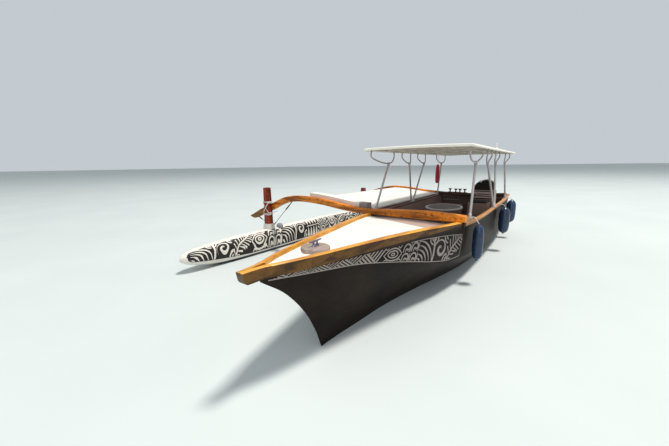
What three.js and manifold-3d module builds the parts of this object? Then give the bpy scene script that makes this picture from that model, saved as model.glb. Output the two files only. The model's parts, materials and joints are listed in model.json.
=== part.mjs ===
// Outrigger canoe: a motor tour boat of the Polynesian kind, with one float, an awning and an outboard.
// Millimetres. +X to the bow, +Y to port, +Z up. The origin is on the waterline, amidships, midway across.
import * as THREE from "three";
import { mergeVertices } from "three/addons/utils/BufferGeometryUtils.js";
import Module from "manifold-3d";

const wasm = await Module();
wasm.setup();

// Driving dimensions
const GAP = 0.4;
const HULL_SKIN = 42;
const TRANSOM_X = -4500;
const COCKPIT_FRONT = 760;
const SOLE_TOP = 300;
const SOLE_THICK = 22;
const TRANSOM_THICK = 50;
const NOTCH_HALF = 500;
const NOTCH_Z = 400;
const RAIL_ROUND = 14;
const RAIL_TIP_X = 4507;
const CAP_WIDTH = 80;
const FRONT_BEAM_X = 950;
const REAR_BEAM_X = -3600;
const BEAM_WIDTH = 130;
const AMA_Y = -3700;
const POST_DEPTH = 140;
const POST_X_OFFSET = BEAM_WIDTH / 2 + POST_DEPTH / 2 + GAP;
const AWNING_FRONT = 1000;
const AWNING_REAR = -4350;
const AWNING_HALF = 960;
const AWNING_Z = 2355;
const AWNING_DROP = 40;
const TUBE_R = 21;
const PIPE_R = 14;
const PIVOT_X = -4760;
const PIVOT_Z = 430;
const STEER_X = -4880;
const PROP_Z = -420;
const PROP_X = -5170;
const CONSOLE_X = -2700;
const CONSOLE_Y = 500;
const WHEEL_R = 190;

const FINISH = {
  hull: [0x241c18, 0.3, 0.0],
  deck: [0xece6dc, 0.5, 0.0],
  gold: [0xc98a2e, 0.4, 0.0],
  brown: [0x9a5a22, 0.45, 0.0],
  red: [0x8a3418, 0.5, 0.0],
  white: [0xf2efe8, 0.45, 0.0],
  grey: [0x6d625b, 0.6, 0.0],
  cushion: [0x2a2a2e, 0.8, 0.0],
  steel: [0xb9bcc0, 0.3, 0.9],
  navy: [0x22304e, 0.45, 0.0],
  black: [0x141416, 0.35, 0.0],
  canvas: [0xe8e4da, 0.85, 0.0],
  crimson: [0xa0182a, 0.7, 0.0],
};

const boat = new THREE.Group();
boat.name = "outrigger_canoe";

function material(kind) {
  const [color, roughness, metalness] = FINISH[kind];
  return new THREE.MeshStandardMaterial({ color, roughness, metalness });
}

// Solids: every helper returns a closed solid in the boat's frame.
function solid(geometry) {
  const bare = geometry.clone();
  for (const name of Object.keys(bare.attributes)) {
    if (name !== "position") bare.deleteAttribute(name);
  }
  const merged = mergeVertices(bare, 1e-3);
  const triVerts = new Uint32Array(merged.index.array);
  const vertProperties = new Float32Array(merged.attributes.position.array);
  let volume = 0;
  const corner = (i) => new THREE.Vector3().fromArray(vertProperties, triVerts[i] * 3);
  for (let i = 0; i < triVerts.length; i += 3) {
    volume += corner(i).dot(corner(i + 1).cross(corner(i + 2)));
  }
  if (volume < 0) {
    for (let i = 0; i < triVerts.length; i += 3) {
      [triVerts[i + 1], triVerts[i + 2]] = [triVerts[i + 2], triVerts[i + 1]];
    }
  }
  return new wasm.Manifold(new wasm.Mesh({ numProp: 3, vertProperties, triVerts }));
}

function moved(made, dz, dy = 0) {
  return made.translate(0, dy, dz);
}

function largest(made) {
  return made.decompose().sort((a, b) => b.volume() - a.volume())[0];
}

function join(...solids) {
  return solids.reduce((a, b) => a.add(b));
}

function addPiece(name, made, kind) {
  const mesh = made.getMesh();
  const geometry = new THREE.BufferGeometry();
  geometry.setAttribute("position", new THREE.BufferAttribute(new Float32Array(mesh.vertProperties), 3));
  geometry.setIndex(new THREE.BufferAttribute(new Uint32Array(mesh.triVerts), 1));
  geometry.computeVertexNormals();
  const piece = new THREE.Mesh(geometry, material(kind));
  piece.name = name;
  boat.add(piece);
  return piece;
}

// A closed skin over rings of equal length, capped at both ends. Mirrored rings run from the middle of one
// side to the middle of the other, and their facets mirror too.
function loft(rings, mirrored = false) {
  const count = rings[0].length;
  const points = rings.flat().flatMap((p) => [p.x, p.y, p.z]);
  const index = [];
  for (let r = 0; r + 1 < rings.length; r++) {
    for (let i = 0; i < count; i++) {
      const a = r * count + i;
      const b = r * count + ((i + 1) % count);
      if (mirrored && i >= count / 2) index.push(a, b, b + count, a, b + count, a + count);
      else index.push(a, b, a + count, b, b + count, a + count);
    }
  }
  for (const [start, flip] of [[0, true], [(rings.length - 1) * count, false]]) {
    const ring = rings[start / count];
    const normal = new THREE.Vector3();
    ring.forEach((p, i) => {
      normal.add(p.clone().sub(ring[0]).cross(ring[(i + 1) % count].clone().sub(ring[0])));
    });
    normal.normalize();
    const u = ring[1].clone().sub(ring[0]).normalize();
    const v = normal.clone().cross(u);
    const local = ring.map((p) => p.clone().sub(ring[0]));
    const flat = local.map((p) => new THREE.Vector2(p.dot(u), p.dot(v)));
    for (const [a, b, c] of THREE.ShapeUtils.triangulateShape(flat, [])) {
      const face = flip ? [a, c, b] : [a, b, c];
      index.push(...face.map((k) => k + start));
    }
  }
  const geometry = new THREE.BufferGeometry();
  geometry.setAttribute("position", new THREE.Float32BufferAttribute(points, 3));
  geometry.setIndex(index);
  return solid(geometry);
}

function box(x0, x1, y0, y1, z0, z1) {
  const geometry = new THREE.BoxGeometry(x1 - x0, y1 - y0, z1 - z0);
  geometry.translate((x0 + x1) / 2, (y0 + y1) / 2, (z0 + z1) / 2);
  return solid(geometry);
}

// A cylinder from one point to another.
function rod(from, to, radius, sides = 10, radiusTo = radius) {
  const a = new THREE.Vector3(...from);
  const b = new THREE.Vector3(...to);
  const geometry = new THREE.CylinderGeometry(radiusTo, radius, a.distanceTo(b), sides);
  const turn = new THREE.Quaternion().setFromUnitVectors(
    new THREE.Vector3(0, 1, 0),
    b.clone().sub(a).normalize(),
  );
  geometry.applyQuaternion(turn);
  geometry.translate((a.x + b.x) / 2, (a.y + b.y) / 2, (a.z + b.z) / 2);
  return solid(geometry);
}

// A round tube along a smooth curve through the points.
function tube(points, radius, steps = 12, sides = 8) {
  const path = new THREE.CatmullRomCurve3(points.map((p) => new THREE.Vector3(...p)), false, "centripetal");
  const shape = new THREE.Shape();
  for (let i = 0; i < sides; i++) {
    const angle = (i * 2 * Math.PI) / sides;
    const x = radius * Math.cos(angle);
    const y = radius * Math.sin(angle);
    if (i === 0) shape.moveTo(x, y);
    else shape.lineTo(x, y);
  }
  shape.closePath();
  return solid(new THREE.ExtrudeGeometry(shape, { steps, extrudePath: path, bevelEnabled: false }));
}

// A turned body: the profile's radius and height, on a vertical axis through (x, y).
function turned(profile, x, y, sides = 16) {
  const geometry = new THREE.LatheGeometry(profile.map(([r, z]) => new THREE.Vector2(r, z)), sides);
  geometry.rotateX(Math.PI / 2);
  geometry.translate(x, y, 0);
  return solid(geometry);
}

// A flat outline in X and Y, extruded upwards from z0 to z1.
function plate(outline, z0, z1) {
  const shape = new THREE.Shape(outline.map(([x, y]) => new THREE.Vector2(x, y)));
  const geometry = new THREE.ExtrudeGeometry(shape, { depth: z1 - z0, bevelEnabled: false });
  geometry.translate(0, 0, z0);
  return solid(geometry);
}

// An outline in X and Z, extruded across the boat from y0 to y1.
function slab(outline, y0, y1) {
  const shape = new THREE.Shape(outline.map(([x, z]) => new THREE.Vector2(x, z)));
  const geometry = new THREE.ExtrudeGeometry(shape, { depth: y1 - y0, bevelEnabled: false });
  geometry.rotateX(Math.PI / 2);
  geometry.translate(0, y1, 0);
  return solid(geometry);
}

// Smooth value of one column of a table at x, through the rows in falling order of their first column.
function along(table, column, x) {
  let i = 0;
  while (i < table.length - 2 && x < table[i + 1][0]) i++;
  const [p0, p1] = [table[i], table[i + 1]];
  const before = table[Math.max(i - 1, 0)];
  const after = table[Math.min(i + 2, table.length - 1)];
  const slope = (a, b) => (b[column] - a[column]) / (b[0] - a[0]);
  const middle = slope(p0, p1);
  const limit = (m) => (m * middle <= 0 ? 0 : Math.sign(m) * Math.min(Math.abs(m), 3 * Math.abs(middle)));
  const m0 = i === 0 ? middle : limit(slope(before, p1));
  const m1 = i === table.length - 2 ? middle : limit(slope(p0, after));
  const span = p1[0] - p0[0];
  const t = (x - p0[0]) / span;
  const t2 = t * t;
  const t3 = t2 * t;
  return (
    (2 * t3 - 3 * t2 + 1) * p0[column] +
    (t3 - 2 * t2 + t) * span * m0 +
    (3 * t2 - 2 * t3) * p1[column] +
    (t3 - t2) * span * m1
  );
}

// Hull lines, bow to stern. The strake is the near-upright top plank that carries the painted band.
// x, keel z, keel half-breadth, bilge half-breadth, bilge z, strake foot half-breadth, strake foot z,
// top half-breadth, top z
const HULL = [
  [4300, 1068, 10, 14, 1074, 20, 1082, 42, 1120],
  [4000, 838, 10, 62, 930, 128, 1048, 150, 1116],
  [3730, 512, 10, 78, 730, 186, 998, 222, 1112],
  [3560, 190, 10, 60, 480, 226, 968, 264, 1108],
  [3460, -80, 10, 52, 330, 248, 952, 288, 1106],
  [3250, -270, 12, 52, 180, 292, 920, 338, 1102],
  [2800, -375, 14, 78, 60, 400, 850, 446, 1094],
  [2125, -400, 16, 124, 0, 572, 730, 606, 1084],
  [1270, -405, 18, 276, 0, 772, 560, 812, 1078],
  [460, -405, 20, 440, -10, 884, 505, 922, 1078],
  [-340, -400, 24, 556, -30, 920, 485, 950, 1078],
  [-1500, -385, 30, 650, -40, 936, 475, 960, 1082],
  [-3000, -350, 40, 668, -40, 920, 480, 944, 1090],
  [TRANSOM_X, -300, 60, 600, -20, 850, 500, 876, 1104],
];
const [KEEL_Z, KEEL_Y, BILGE_Y, BILGE_Z, FOOT_Y, FOOT_Z, TOP_Y, TOP_Z] = [1, 2, 3, 4, 5, 6, 7, 8];
const hullAt = (column, x) => along(HULL, column, x);

// The half section at x from the keel up: a curve through keel, bilge and strake foot, then the strake.
const SECTION_STEPS = 7;
function halfSection(x, inset = 0) {
  const keel = [hullAt(KEEL_Y, x), hullAt(KEEL_Z, x)];
  const bilge = [hullAt(BILGE_Y, x), hullAt(BILGE_Z, x)];
  const foot = [hullAt(FOOT_Y, x), hullAt(FOOT_Z, x)];
  const pull = [0, 1].map((k) => 2 * bilge[k] - (keel[k] + foot[k]) / 2);
  const points = [];
  for (let i = 0; i <= SECTION_STEPS; i++) {
    const t = i / SECTION_STEPS;
    const at = (k) => (1 - t) ** 2 * keel[k] + 2 * t * (1 - t) * pull[k] + t * t * foot[k];
    points.push([Math.max(at(0) - inset, 2), at(1) + inset * 0.4]);
  }
  points.push([hullAt(TOP_Y, x) - inset, hullAt(TOP_Z, x)]);
  return points;
}

// A ring at x from the port half's outline, mirrored to starboard
function bothSides(x, half) {
  const port = half.map(([y, z]) => new THREE.Vector3(x, y, z));
  const starboard = half.map(([y, z]) => new THREE.Vector3(x, -y, z)).reverse();
  return [...port, ...starboard];
}

// Hull: solid below the foredeck and the sole, hollow over the cockpit, with a notch in the transom
const STEM_HEAD_X = 4300;
const STATIONS = [STEM_HEAD_X, 4150, 4000, 3860, 3730, 3640, 3560, 3460, 3350, 3200, 2950, 2600, 2200, 1750,
  1270, 800, 300, -340, -1000, -1800, -2600, -3400, -4000, TRANSOM_X];
const outer = loft(STATIONS.map((x) => bothSides(x, halfSection(x))), true);
const SOLE_LOW = SOLE_TOP - SOLE_THICK;
const COCKPIT_STATIONS = [300, -340, -1000, -1800, -2600, -3400, -4000];
const OVER_RIM = 1300;
// The half-breadth inside the skin at the sole's underside
function soleHalf(x) {
  const half = halfSection(x, HULL_SKIN);
  const i = half.findIndex(([, z]) => z > SOLE_LOW);
  const [[y0, z0], [y1, z1]] = [half[i - 1], half[i]];
  return y0 + ((y1 - y0) * (SOLE_LOW - z0)) / (z1 - z0);
}
function cavityRing(x) {
  const [topY] = halfSection(x, HULL_SKIN).pop();
  const footY = hullAt(FOOT_Y, x) - HULL_SKIN;
  return bothSides(x, [[soleHalf(x), SOLE_LOW], [footY, hullAt(FOOT_Z, x)], [topY, OVER_RIM]]);
}
const cavity = loft([COCKPIT_FRONT, ...COCKPIT_STATIONS, TRANSOM_X + TRANSOM_THICK].map(cavityRing), true);
const notch = box(TRANSOM_X - 100, TRANSOM_X + 100, -NOTCH_HALF, NOTCH_HALF, NOTCH_Z, OVER_RIM);
const hull = outer.subtract(cavity).subtract(notch);
addPiece("hull", hull, "hull");

// Keel batten, seated under the flat of the keel
const KEEL_HALF = 22;
const keelOutline = [[3100, -400], [1500, -460], [-3000, -430], [-4300, -390], [-4300, -300], [3100, -340]];
const keel = slab(keelOutline, -KEEL_HALF, KEEL_HALF).subtract(outer).subtract(moved(outer, -GAP));
addPiece("keel", largest(keel), "hull");

// Sole boards over the hull's solid bottom
const soleStations = [COCKPIT_FRONT - 5, ...COCKPIT_STATIONS, TRANSOM_X + TRANSOM_THICK + 5];
const soleRing = (x) => bothSides(x, [[soleHalf(x) - 6, SOLE_LOW + GAP], [soleHalf(x) - 6, SOLE_TOP]]);
addPiece("sole", loft(soleStations.map(soleRing), true), "grey");

// Foredeck: a white panel between the rails, a little below their tops
const RAIL_START = 4250;
const DECK_THICK = 20;
const DECK_CROWN = 24;
const FOREDECK_STATIONS = [RAIL_START, 4000, 3730, 3200, 2600, 2125, 1700, 1270];
const RAIL_OVERHANG = 26;
// x, rail width
const RAIL_WIDTH = [[STEM_HEAD_X, 56], [3730, 60], [3200, 76], [2600, 96], [1010, 96]];
const railOuter = (x) => hullAt(TOP_Y, x) + RAIL_OVERHANG;
const railInner = (x) => railOuter(x) - along(RAIL_WIDTH, 1, x);
function deckRing(x) {
  const y = railInner(x) - GAP;
  const z = hullAt(TOP_Z, x) + GAP;
  return [[-y, z], [y, z], [y, z + DECK_THICK], [0, z + DECK_THICK + DECK_CROWN], [-y, z + DECK_THICK]]
    .map(([ringY, ringZ]) => new THREE.Vector3(x, ringY, ringZ));
}
const foredeck = loft([...FOREDECK_STATIONS, 1020].map(deckRing));
addPiece("foredeck", foredeck, "deck");

// Bow rails on the hull's edges, meeting in the beak
// x, rail top z
const RAIL_TOP = [
  [4560, 1226], [STEM_HEAD_X, 1229], [4000, 1232], [3240, 1230], [2570, 1222], [1900, 1203], [1010, 1160],
];
const INNER_EDGE = 8;
function railRing(x, side) {
  const out = railOuter(x);
  const inn = railInner(x);
  const bottom = hullAt(TOP_Z, x) + GAP;
  const top = along(RAIL_TOP, 1, x);
  const outline = [[inn, bottom], [out, bottom], [out, top - RAIL_ROUND], [out - RAIL_ROUND, top],
    [inn + INNER_EDGE, top], [inn, top - INNER_EDGE]];
  return outline.map(([y, z]) => new THREE.Vector3(x, side * y, z));
}
const SIDES = [["port", 1], ["starboard", -1]];
const railSolids = SIDES.map(([, side]) => loft([...FOREDECK_STATIONS, 1016].map((x) => railRing(x, side))));
const BEAK_MID_Z = 1180;
function beakRing(x, half, bottom, rake) {
  const top = along(RAIL_TOP, 1, x);
  return [[-half, bottom], [half, bottom], [half, top - RAIL_ROUND], [half - RAIL_ROUND, top],
    [-half + RAIL_ROUND, top], [-half, top - RAIL_ROUND]]
    .map(([y, z]) => new THREE.Vector3(x + (z - BEAK_MID_Z) * rake, y, z));
}
// x, half width, bottom z and rake of each ring of the beak
const BEAK_REAR_X = RAIL_START + GAP;
const BEAK = [
  [RAIL_TIP_X, 45, 1144, 0.2], [RAIL_TIP_X - 26, 48, 1112, 0.2], [4420, 52, 1113, 0],
  [STEM_HEAD_X, railOuter(STEM_HEAD_X), hullAt(TOP_Z, STEM_HEAD_X) + GAP, 0],
  [BEAK_REAR_X, railOuter(BEAK_REAR_X), hullAt(TOP_Z, BEAK_REAR_X) + GAP, 0],
];
// The groove where the two rails' inner edges run together
const GROOVE_HALF = railInner(RAIL_START);
const GROOVE_TIP_X = 4400;
const GROOVE_Z = 1160;
const groove = plate([
  [RAIL_START - 10, -GROOVE_HALF], [GROOVE_TIP_X, -1], [GROOVE_TIP_X, 1], [RAIL_START - 10, GROOVE_HALF],
], GROOVE_Z, OVER_RIM);
addPiece("beak", loft(BEAK.map((row) => beakRing(...row))).subtract(groove), "gold");

// Gunwale caps beside the cockpit, each with a return along the transom as far as the motor's notch
const CAP_OVERHANG = 30;
// x, cap thickness: the front ends rise to the beam's top
const CAP_THICK = [[870, 168], [800, 140], [700, 102], [540, 98], [420, 62], [300, 42], [TRANSOM_X, 40]];
const capOuter = (x) => hullAt(TOP_Y, x) + CAP_OVERHANG;
const capHeight = (x) => hullAt(TOP_Z, x) + GAP + along(CAP_THICK, 1, x);
function capRing(x, side) {
  const out = capOuter(x);
  const inn = out - CAP_WIDTH;
  const bottom = hullAt(TOP_Z, x) + GAP;
  const top = capHeight(x);
  const round = 14;
  const outline = [[inn, bottom], [out, bottom], [out, top - round], [out - round, top],
    [inn + round, top], [inn, top - round]];
  return outline.map(([y, z]) => new THREE.Vector3(x, side * y, z));
}
const capStations = [870, 800, 700, 540, 420, ...COCKPIT_STATIONS, TRANSOM_X];
const CAP_RETURN = 90;
const capSolids = SIDES.map(([, side]) => {
  const z0 = hullAt(TOP_Z, TRANSOM_X) + GAP;
  const outerY = hullAt(TOP_Y, TRANSOM_X) - 20;
  const [y0, y1] = side > 0 ? [NOTCH_HALF, outerY] : [-outerY, -NOTCH_HALF];
  const returned = box(TRANSOM_X, TRANSOM_X + CAP_RETURN, y0, y1, z0, capHeight(TRANSOM_X) - 2);
  return join(loft(capStations.map((x) => capRing(x, side))), returned);
});
SIDES.forEach(([name], i) => addPiece("gunwale_" + name, capSolids[i], "gold"));
const capsRaised = moved(join(...capSolids), GAP);
function capTop(x) {
  const i = Math.max(1, capStations.findIndex((s) => s <= x));
  const [x0, x1] = [capStations[i - 1], capStations[i]];
  const t = (x - x0) / (x1 - x0);
  return capHeight(x0) * (1 - t) + capHeight(x1) * t + GAP;
}

// Cross beams. y, top z, depth
const FRONT_BEAM = [
  [915, 1262, 106], [340, 1292, 150], [-400, 1262, 128], [-920, 1236, 104], [-1435, 1285, 120],
  [-2050, 1362, 124], [-2660, 1395, 130], [-3150, 1345, 150], [-3700, 1132, 164], [-4100, 975, 166],
  [-4420, 826, 148], [-4590, 742, 20],
];
const REAR_BEAM = [
  [915, 1250, 108], [340, 1212, 104], [-400, 1200, 98], [-920, 1220, 100], [-1435, 1260, 114],
  [-2050, 1332, 118], [-2550, 1350, 110], [-3100, 1240, 100], [-3700, 1030, 92], [-4000, 950, 80],
  [-4250, 850, 52],
];
function beamRing(table, x, y) {
  const top = along(table, 1, y);
  const depth = along(table, 2, y);
  const half = BEAM_WIDTH / 2;
  const round = Math.min(18, depth * 0.2);
  const low = top - depth;
  return [[-half, low + round], [-half + round, low], [half - round, low], [half, low + round],
    [half, top - round], [half - round, top], [-half + round, top], [-half, top - round]]
    .map(([dx, z]) => new THREE.Vector3(x + dx, y, z));
}
const BEAM_YS = [915, 700, 340, 0, -400, -700, -920, -1000, -1200, -1435, -1700, -2050, -2300, -2460, -2660,
  -2900, -3180, -3450, -3700, -3900, -4100, -4300, -4420, -4500];
function beamSolid(table, x) {
  const last = table[table.length - 1][0];
  const ys = [...BEAM_YS.filter((y) => y > last + 20), last];
  return loft(ys.map((y) => beamRing(table, x, y)));
}
const frontBeam = beamSolid(FRONT_BEAM, FRONT_BEAM_X);
const rearBeam = largest(beamSolid(REAR_BEAM, REAR_BEAM_X).subtract(capsRaised));
addPiece("front_beam", frontBeam, "brown");
addPiece("rear_beam", rearBeam, "brown");

// Each bow rail ends in a block that carries the front beam
SIDES.forEach(([name, side], i) => {
  const half = BEAM_WIDTH / 2;
  const [y0, y1] = side > 0 ? [786, 905] : [-905, -786];
  const low = hullAt(TOP_Z, FRONT_BEAM_X) + 2;
  const [x0, x1] = [FRONT_BEAM_X - half, FRONT_BEAM_X + half + 8];
  const block = box(x0, x1, y0, y1, low, FRONT_BEAM[0][1] - 60).subtract(moved(frontBeam, -GAP));
  const rail = railSolids[i].subtract(frontBeam);
  addPiece("bow_rail_" + name, largest(join(rail, largest(block))), "gold");
});

// Outrigger float: x, bottom z, top z, half width
const AMA = [
  [3350, 262, 318, 20], [3300, 216, 372, 74], [3150, 150, 432, 132], [2800, 70, 478, 178],
  [2200, -20, 512, 206], [1300, -90, 530, 222], [0, -130, 536, 228], [-1500, -130, 530, 228],
  [-2900, -100, 512, 220], [-3900, -40, 480, 196],
  [-4400, 60, 440, 150], [-4650, 170, 380, 80], [-4720, 240, 320, 20],
];
function amaRing(x, sides = 14) {
  const low = along(AMA, 1, x);
  const high = along(AMA, 2, x);
  const half = along(AMA, 3, x);
  const ring = [];
  for (let i = 0; i < sides; i++) {
    const angle = ((i + 0.5) * 2 * Math.PI) / sides;
    const squeeze = (v) => Math.sign(v) * Math.abs(v) ** 0.72;
    ring.push(new THREE.Vector3(x, AMA_Y + half * squeeze(Math.cos(angle)),
      (low + high) / 2 + ((high - low) / 2) * squeeze(Math.sin(angle))));
  }
  return ring;
}
const amaStations = [3350, 3325, 3270, 3150, 2950, 2600, 2200, 1700, 1100, 300, -600, -1500, -2400, -3200,
  -3900, -4300, -4550, -4680, -4720];
const amaSolid = loft(amaStations.map((x) => amaRing(x)));
addPiece("ama", amaSolid, "white");

// Posts that carry the float: a white pedestal on the float and a tapered timber beside the beam
function taperedPost(x, y, z0, z1, foot, head, depth) {
  const ring = (z, width) => [[-depth / 2, -width / 2], [depth / 2, -width / 2], [depth / 2, width / 2],
    [-depth / 2, width / 2]].map(([dx, dy]) => new THREE.Vector3(x + dx, y + dy, z));
  return loft([ring(z0, foot), ring(z1, head)]);
}
// name, beam x, post foot z, post top z
const POSTS = [["front", FRONT_BEAM_X, 655, 1555], ["rear", REAR_BEAM_X, 640, 1235]];
const pedestals = {};
for (const [name, beamX, footZ, topZ] of POSTS) {
  const x = beamX + POST_X_OFFSET;
  const floatTop = along(AMA, 2, x);
  const pedestal = taperedPost(x, AMA_Y, floatTop - 60, footZ - GAP, 250, 190, POST_DEPTH + 40);
  pedestals[name] = largest(pedestal.subtract(moved(amaSolid, GAP)));
  addPiece("ama_pedestal_" + name, pedestals[name], "white");
  addPiece("ama_post_" + name, taperedPost(x, AMA_Y, footZ, topZ, 178, 132, POST_DEPTH), "red");
}

// Stays between each beam and the pedestal of its post, each with its bottle screw
const STAY_R = 9;
const SCREW_R = 16;
const STAY_FOOT = 95;
// name, beam x, beam table, beam solid, inner hold y, outer hold y, foot z
const STAYS = [
  ["front", FRONT_BEAM_X, FRONT_BEAM, frontBeam, -2910, -4200, 604],
  ["rear", REAR_BEAM_X, REAR_BEAM, rearBeam, -3180, -4060, 596],
];
for (const [name, beamX, table, beam, innerY, outerY, footZ] of STAYS) {
  for (const [end, y, side] of [["inner", innerY, 1], ["outer", outerY, -1]]) {
    const hold = along(table, 1, y) - along(table, 2, y) + 20;
    const x = beamX + BEAM_WIDTH / 2 - STAY_R - 1;
    const from = [x, AMA_Y + side * (STAY_FOOT - 20), footZ - 8];
    const to = [x, y, hold];
    const middle = (t) => from.map((v, i) => v + (to[i] - v) * t);
    const stay = join(rod(from, to, STAY_R, 8), rod(middle(0.35), middle(0.6), SCREW_R, 8))
      .subtract(moved(beam, -GAP))
      .subtract(moved(pedestals[name], 0, side * GAP));
    addPiece("stay_" + name + "_" + end, largest(stay), "steel");
  }
}

// Platform between the beams, a step below their tops, from the hull's edge out to the crown of the beams
const PLATFORM_THICK = 26;
const PLATFORM_STEP = 55;
const [PLATFORM_IN, PLATFORM_OUT] = [-1000, -2460];
const PLATFORM_X = [REAR_BEAM_X + BEAM_WIDTH / 2 + GAP, FRONT_BEAM_X - BEAM_WIDTH / 2 - GAP];
const platformYs = BEAM_YS.filter((y) => y <= PLATFORM_IN && y >= PLATFORM_OUT);
// The platform's upper face at y, at its rear or front edge
const platformTop = (y, front) => along(front ? FRONT_BEAM : REAR_BEAM, 1, y) - PLATFORM_STEP;
function platformRing(y) {
  const [rear, front] = [platformTop(y, false), platformTop(y, true)];
  const [x0, x1] = PLATFORM_X;
  return [[x0, rear - PLATFORM_THICK], [x1, front - PLATFORM_THICK], [x1, front], [x0, rear]]
    .map(([x, z]) => new THREE.Vector3(x, y, z));
}
const platform = loft(platformYs.map(platformRing));
addPiece("platform", platform, "deck");

// Raised board along the platform's front edge
const BOARD_X = [660, PLATFORM_X[1]];
const BOARD_IN = -1135;
const BOARD_RISE = 74;
const BOARD_SINK = 14;
function boardRing(y) {
  const low = platformTop(y, true) - BOARD_SINK;
  const high = along(FRONT_BEAM, 1, y) + BOARD_RISE;
  const [x0, x1] = BOARD_X;
  return [[x0, low], [x1, low], [x1, high], [x0, high]].map(([x, z]) => new THREE.Vector3(x, y, z));
}
const boardYs = [BOARD_IN, ...platformYs.filter((y) => y < BOARD_IN)];
const board = loft(boardYs.map(boardRing)).subtract(moved(platform, GAP));
addPiece("platform_board", largest(board), "deck");

// Awning: posts that lean inwards and part into two arms, a grid of pipes and a cloth top
const ARM_Z = 2090;
const LEG_HEAD_Y = 840;
const FOOT_PLATE = [45, 38];
const RAIL_Y = LEG_HEAD_Y + 42;
const pipeZ = AWNING_Z - 2;
// name, foot x, head x, fore reach, aft reach
const LEGS = [
  ["front", [[620, 210, 640, -330]]],
  ["middle", [[-1340, -880, 330, -150], [-1460, -1830, 330, -200]]],
  ["rear", [[-3330, -3290, 330, -480]]],
];
for (const [side, sign] of [["port", 1], ["starboard", -1]]) {
  for (const [name, legs] of LEGS) {
    const parts = [];
    for (const [footX, headX, fore, aft] of legs) {
      const headY = sign * LEG_HEAD_Y;
      const footY = sign * (capOuter(footX) - CAP_WIDTH / 2);
      parts.push(rod([footX, footY, capTop(footX) + 6], [headX, headY, ARM_Z], TUBE_R, 10));
      parts.push(rod([headX, headY, ARM_Z - 50], [headX, headY, ARM_Z + 30], TUBE_R + 7, 10));
      for (const reach of [fore, aft]) {
        const x1 = headX + reach;
        const arm = [
          [headX, sign * LEG_HEAD_Y, ARM_Z],
          [headX + reach * 0.55, sign * (LEG_HEAD_Y + 10), ARM_Z + 40],
          [x1, sign * (RAIL_Y - 2), ARM_Z + 130],
          [x1, sign * RAIL_Y, pipeZ - PIPE_R - GAP],
        ];
        parts.push(tube(arm, PIPE_R, 8, 8));
      }
    }
    const xs = legs.map((leg) => leg[0]);
    const [low, high] = [Math.min(...xs) - FOOT_PLATE[0], Math.max(...xs) + FOOT_PLATE[0]];
    const z0 = capTop((low + high) / 2);
    const plateY = sign * (capOuter((low + high) / 2) - CAP_WIDTH / 2);
    parts.push(box(low, high, plateY - FOOT_PLATE[1], plateY + FOOT_PLATE[1], z0 - 10, z0 + 14));
    addPiece("awning_leg_" + side + "_" + name, largest(join(...parts).subtract(capsRaised)), "steel");
  }
}

const CLOTH = 10;
const CROWN = 16;
const INNER_HALF = AWNING_HALF - CLOTH;
const crownAt = (y) => CROWN * (1 - (y / AWNING_HALF) ** 2);
const LONG_PIPES = [-RAIL_Y, -INNER_HALF / 2, 0, INNER_HALF / 2, RAIL_Y];
const CROSS_PIPES = [AWNING_FRONT - 40, 210, -335, -880, -1830, -2600, -3290, -3800, AWNING_REAR + 40];
const pipeAt = (y) => pipeZ + crownAt(y) - crownAt(RAIL_Y);
const pipe = (x0, y0, x1, y1) => rod([x0, y0, pipeAt(y0)], [x1, y1, pipeAt(y1)], PIPE_R, 8);
const grid = LONG_PIPES.map((y) => pipe(CROSS_PIPES[0], y, CROSS_PIPES[CROSS_PIPES.length - 1], y));
for (const x of CROSS_PIPES) {
  for (let i = 0; i + 1 < LONG_PIPES.length; i++) grid.push(pipe(x, LONG_PIPES[i], x, LONG_PIPES[i + 1]));
}
addPiece("awning_frame", join(...grid), "steel");

const clothBase = pipeZ + PIPE_R + 1 - crownAt(RAIL_Y);
const clothHem = clothBase - AWNING_DROP;
const arc = (half, lift) => Array.from({ length: 9 }, (_, i) => {
  const y = half * (i / 4 - 1);
  return [y, clothBase + lift + crownAt(y)];
});
const clothRing = (x) => [
  ...arc(AWNING_HALF, CLOTH), [AWNING_HALF, clothHem], [INNER_HALF, clothHem],
  ...arc(-INNER_HALF, 0), [-INNER_HALF, clothHem], [-AWNING_HALF, clothHem],
].map(([y, z]) => new THREE.Vector3(x, y, z));
const lip = (x0, x1) => loft([x0, x1].map((x) =>
  [...arc(AWNING_HALF, CLOTH), [AWNING_HALF, clothHem], [-AWNING_HALF, clothHem]]
    .map(([y, z]) => new THREE.Vector3(x, y, z))));
const clothTop = loft([AWNING_FRONT, AWNING_REAR].map(clothRing));
addPiece("awning_cloth", join(
  clothTop,
  lip(AWNING_FRONT - CLOTH, AWNING_FRONT),
  lip(AWNING_REAR, AWNING_REAR + CLOTH),
), "canvas");

// Side benches, rear bench and their cushions
const BENCH_TOP = 690;
const CUSHION = 70;
const BENCH_FRONT = 560;
const BENCH_REAR = -1900;
function innerHalf(x, z) {
  const foot = [hullAt(FOOT_Y, x), hullAt(FOOT_Z, x)];
  const low = [soleHalf(x), SOLE_TOP - SOLE_THICK];
  const top = [hullAt(TOP_Y, x) - HULL_SKIN, OVER_RIM];
  const inside = [foot[0] - HULL_SKIN, foot[1]];
  const [a, b] = z < foot[1] ? [low, inside] : [inside, top];
  return a[0] + ((b[0] - a[0]) * (z - a[1])) / (b[1] - a[1]);
}
function benchRing(x, side, inner, z0, z1, clear) {
  const mid = hullAt(FOOT_Z, x);
  const out = (z) => innerHalf(x, z) - clear;
  const outline = z0 < mid && z1 > mid
    ? [[inner, z0], [out(z0), z0], [out(mid), mid], [out(z1), z1], [inner, z1]]
    : [[inner, z0], [out(z0), z0], [out((z0 + z1) / 2), (z0 + z1) / 2], [out(z1), z1], [inner, z1]];
  return outline.map(([y, z]) => new THREE.Vector3(x, side * y, z));
}
const BENCH_INNER = 430;
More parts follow.
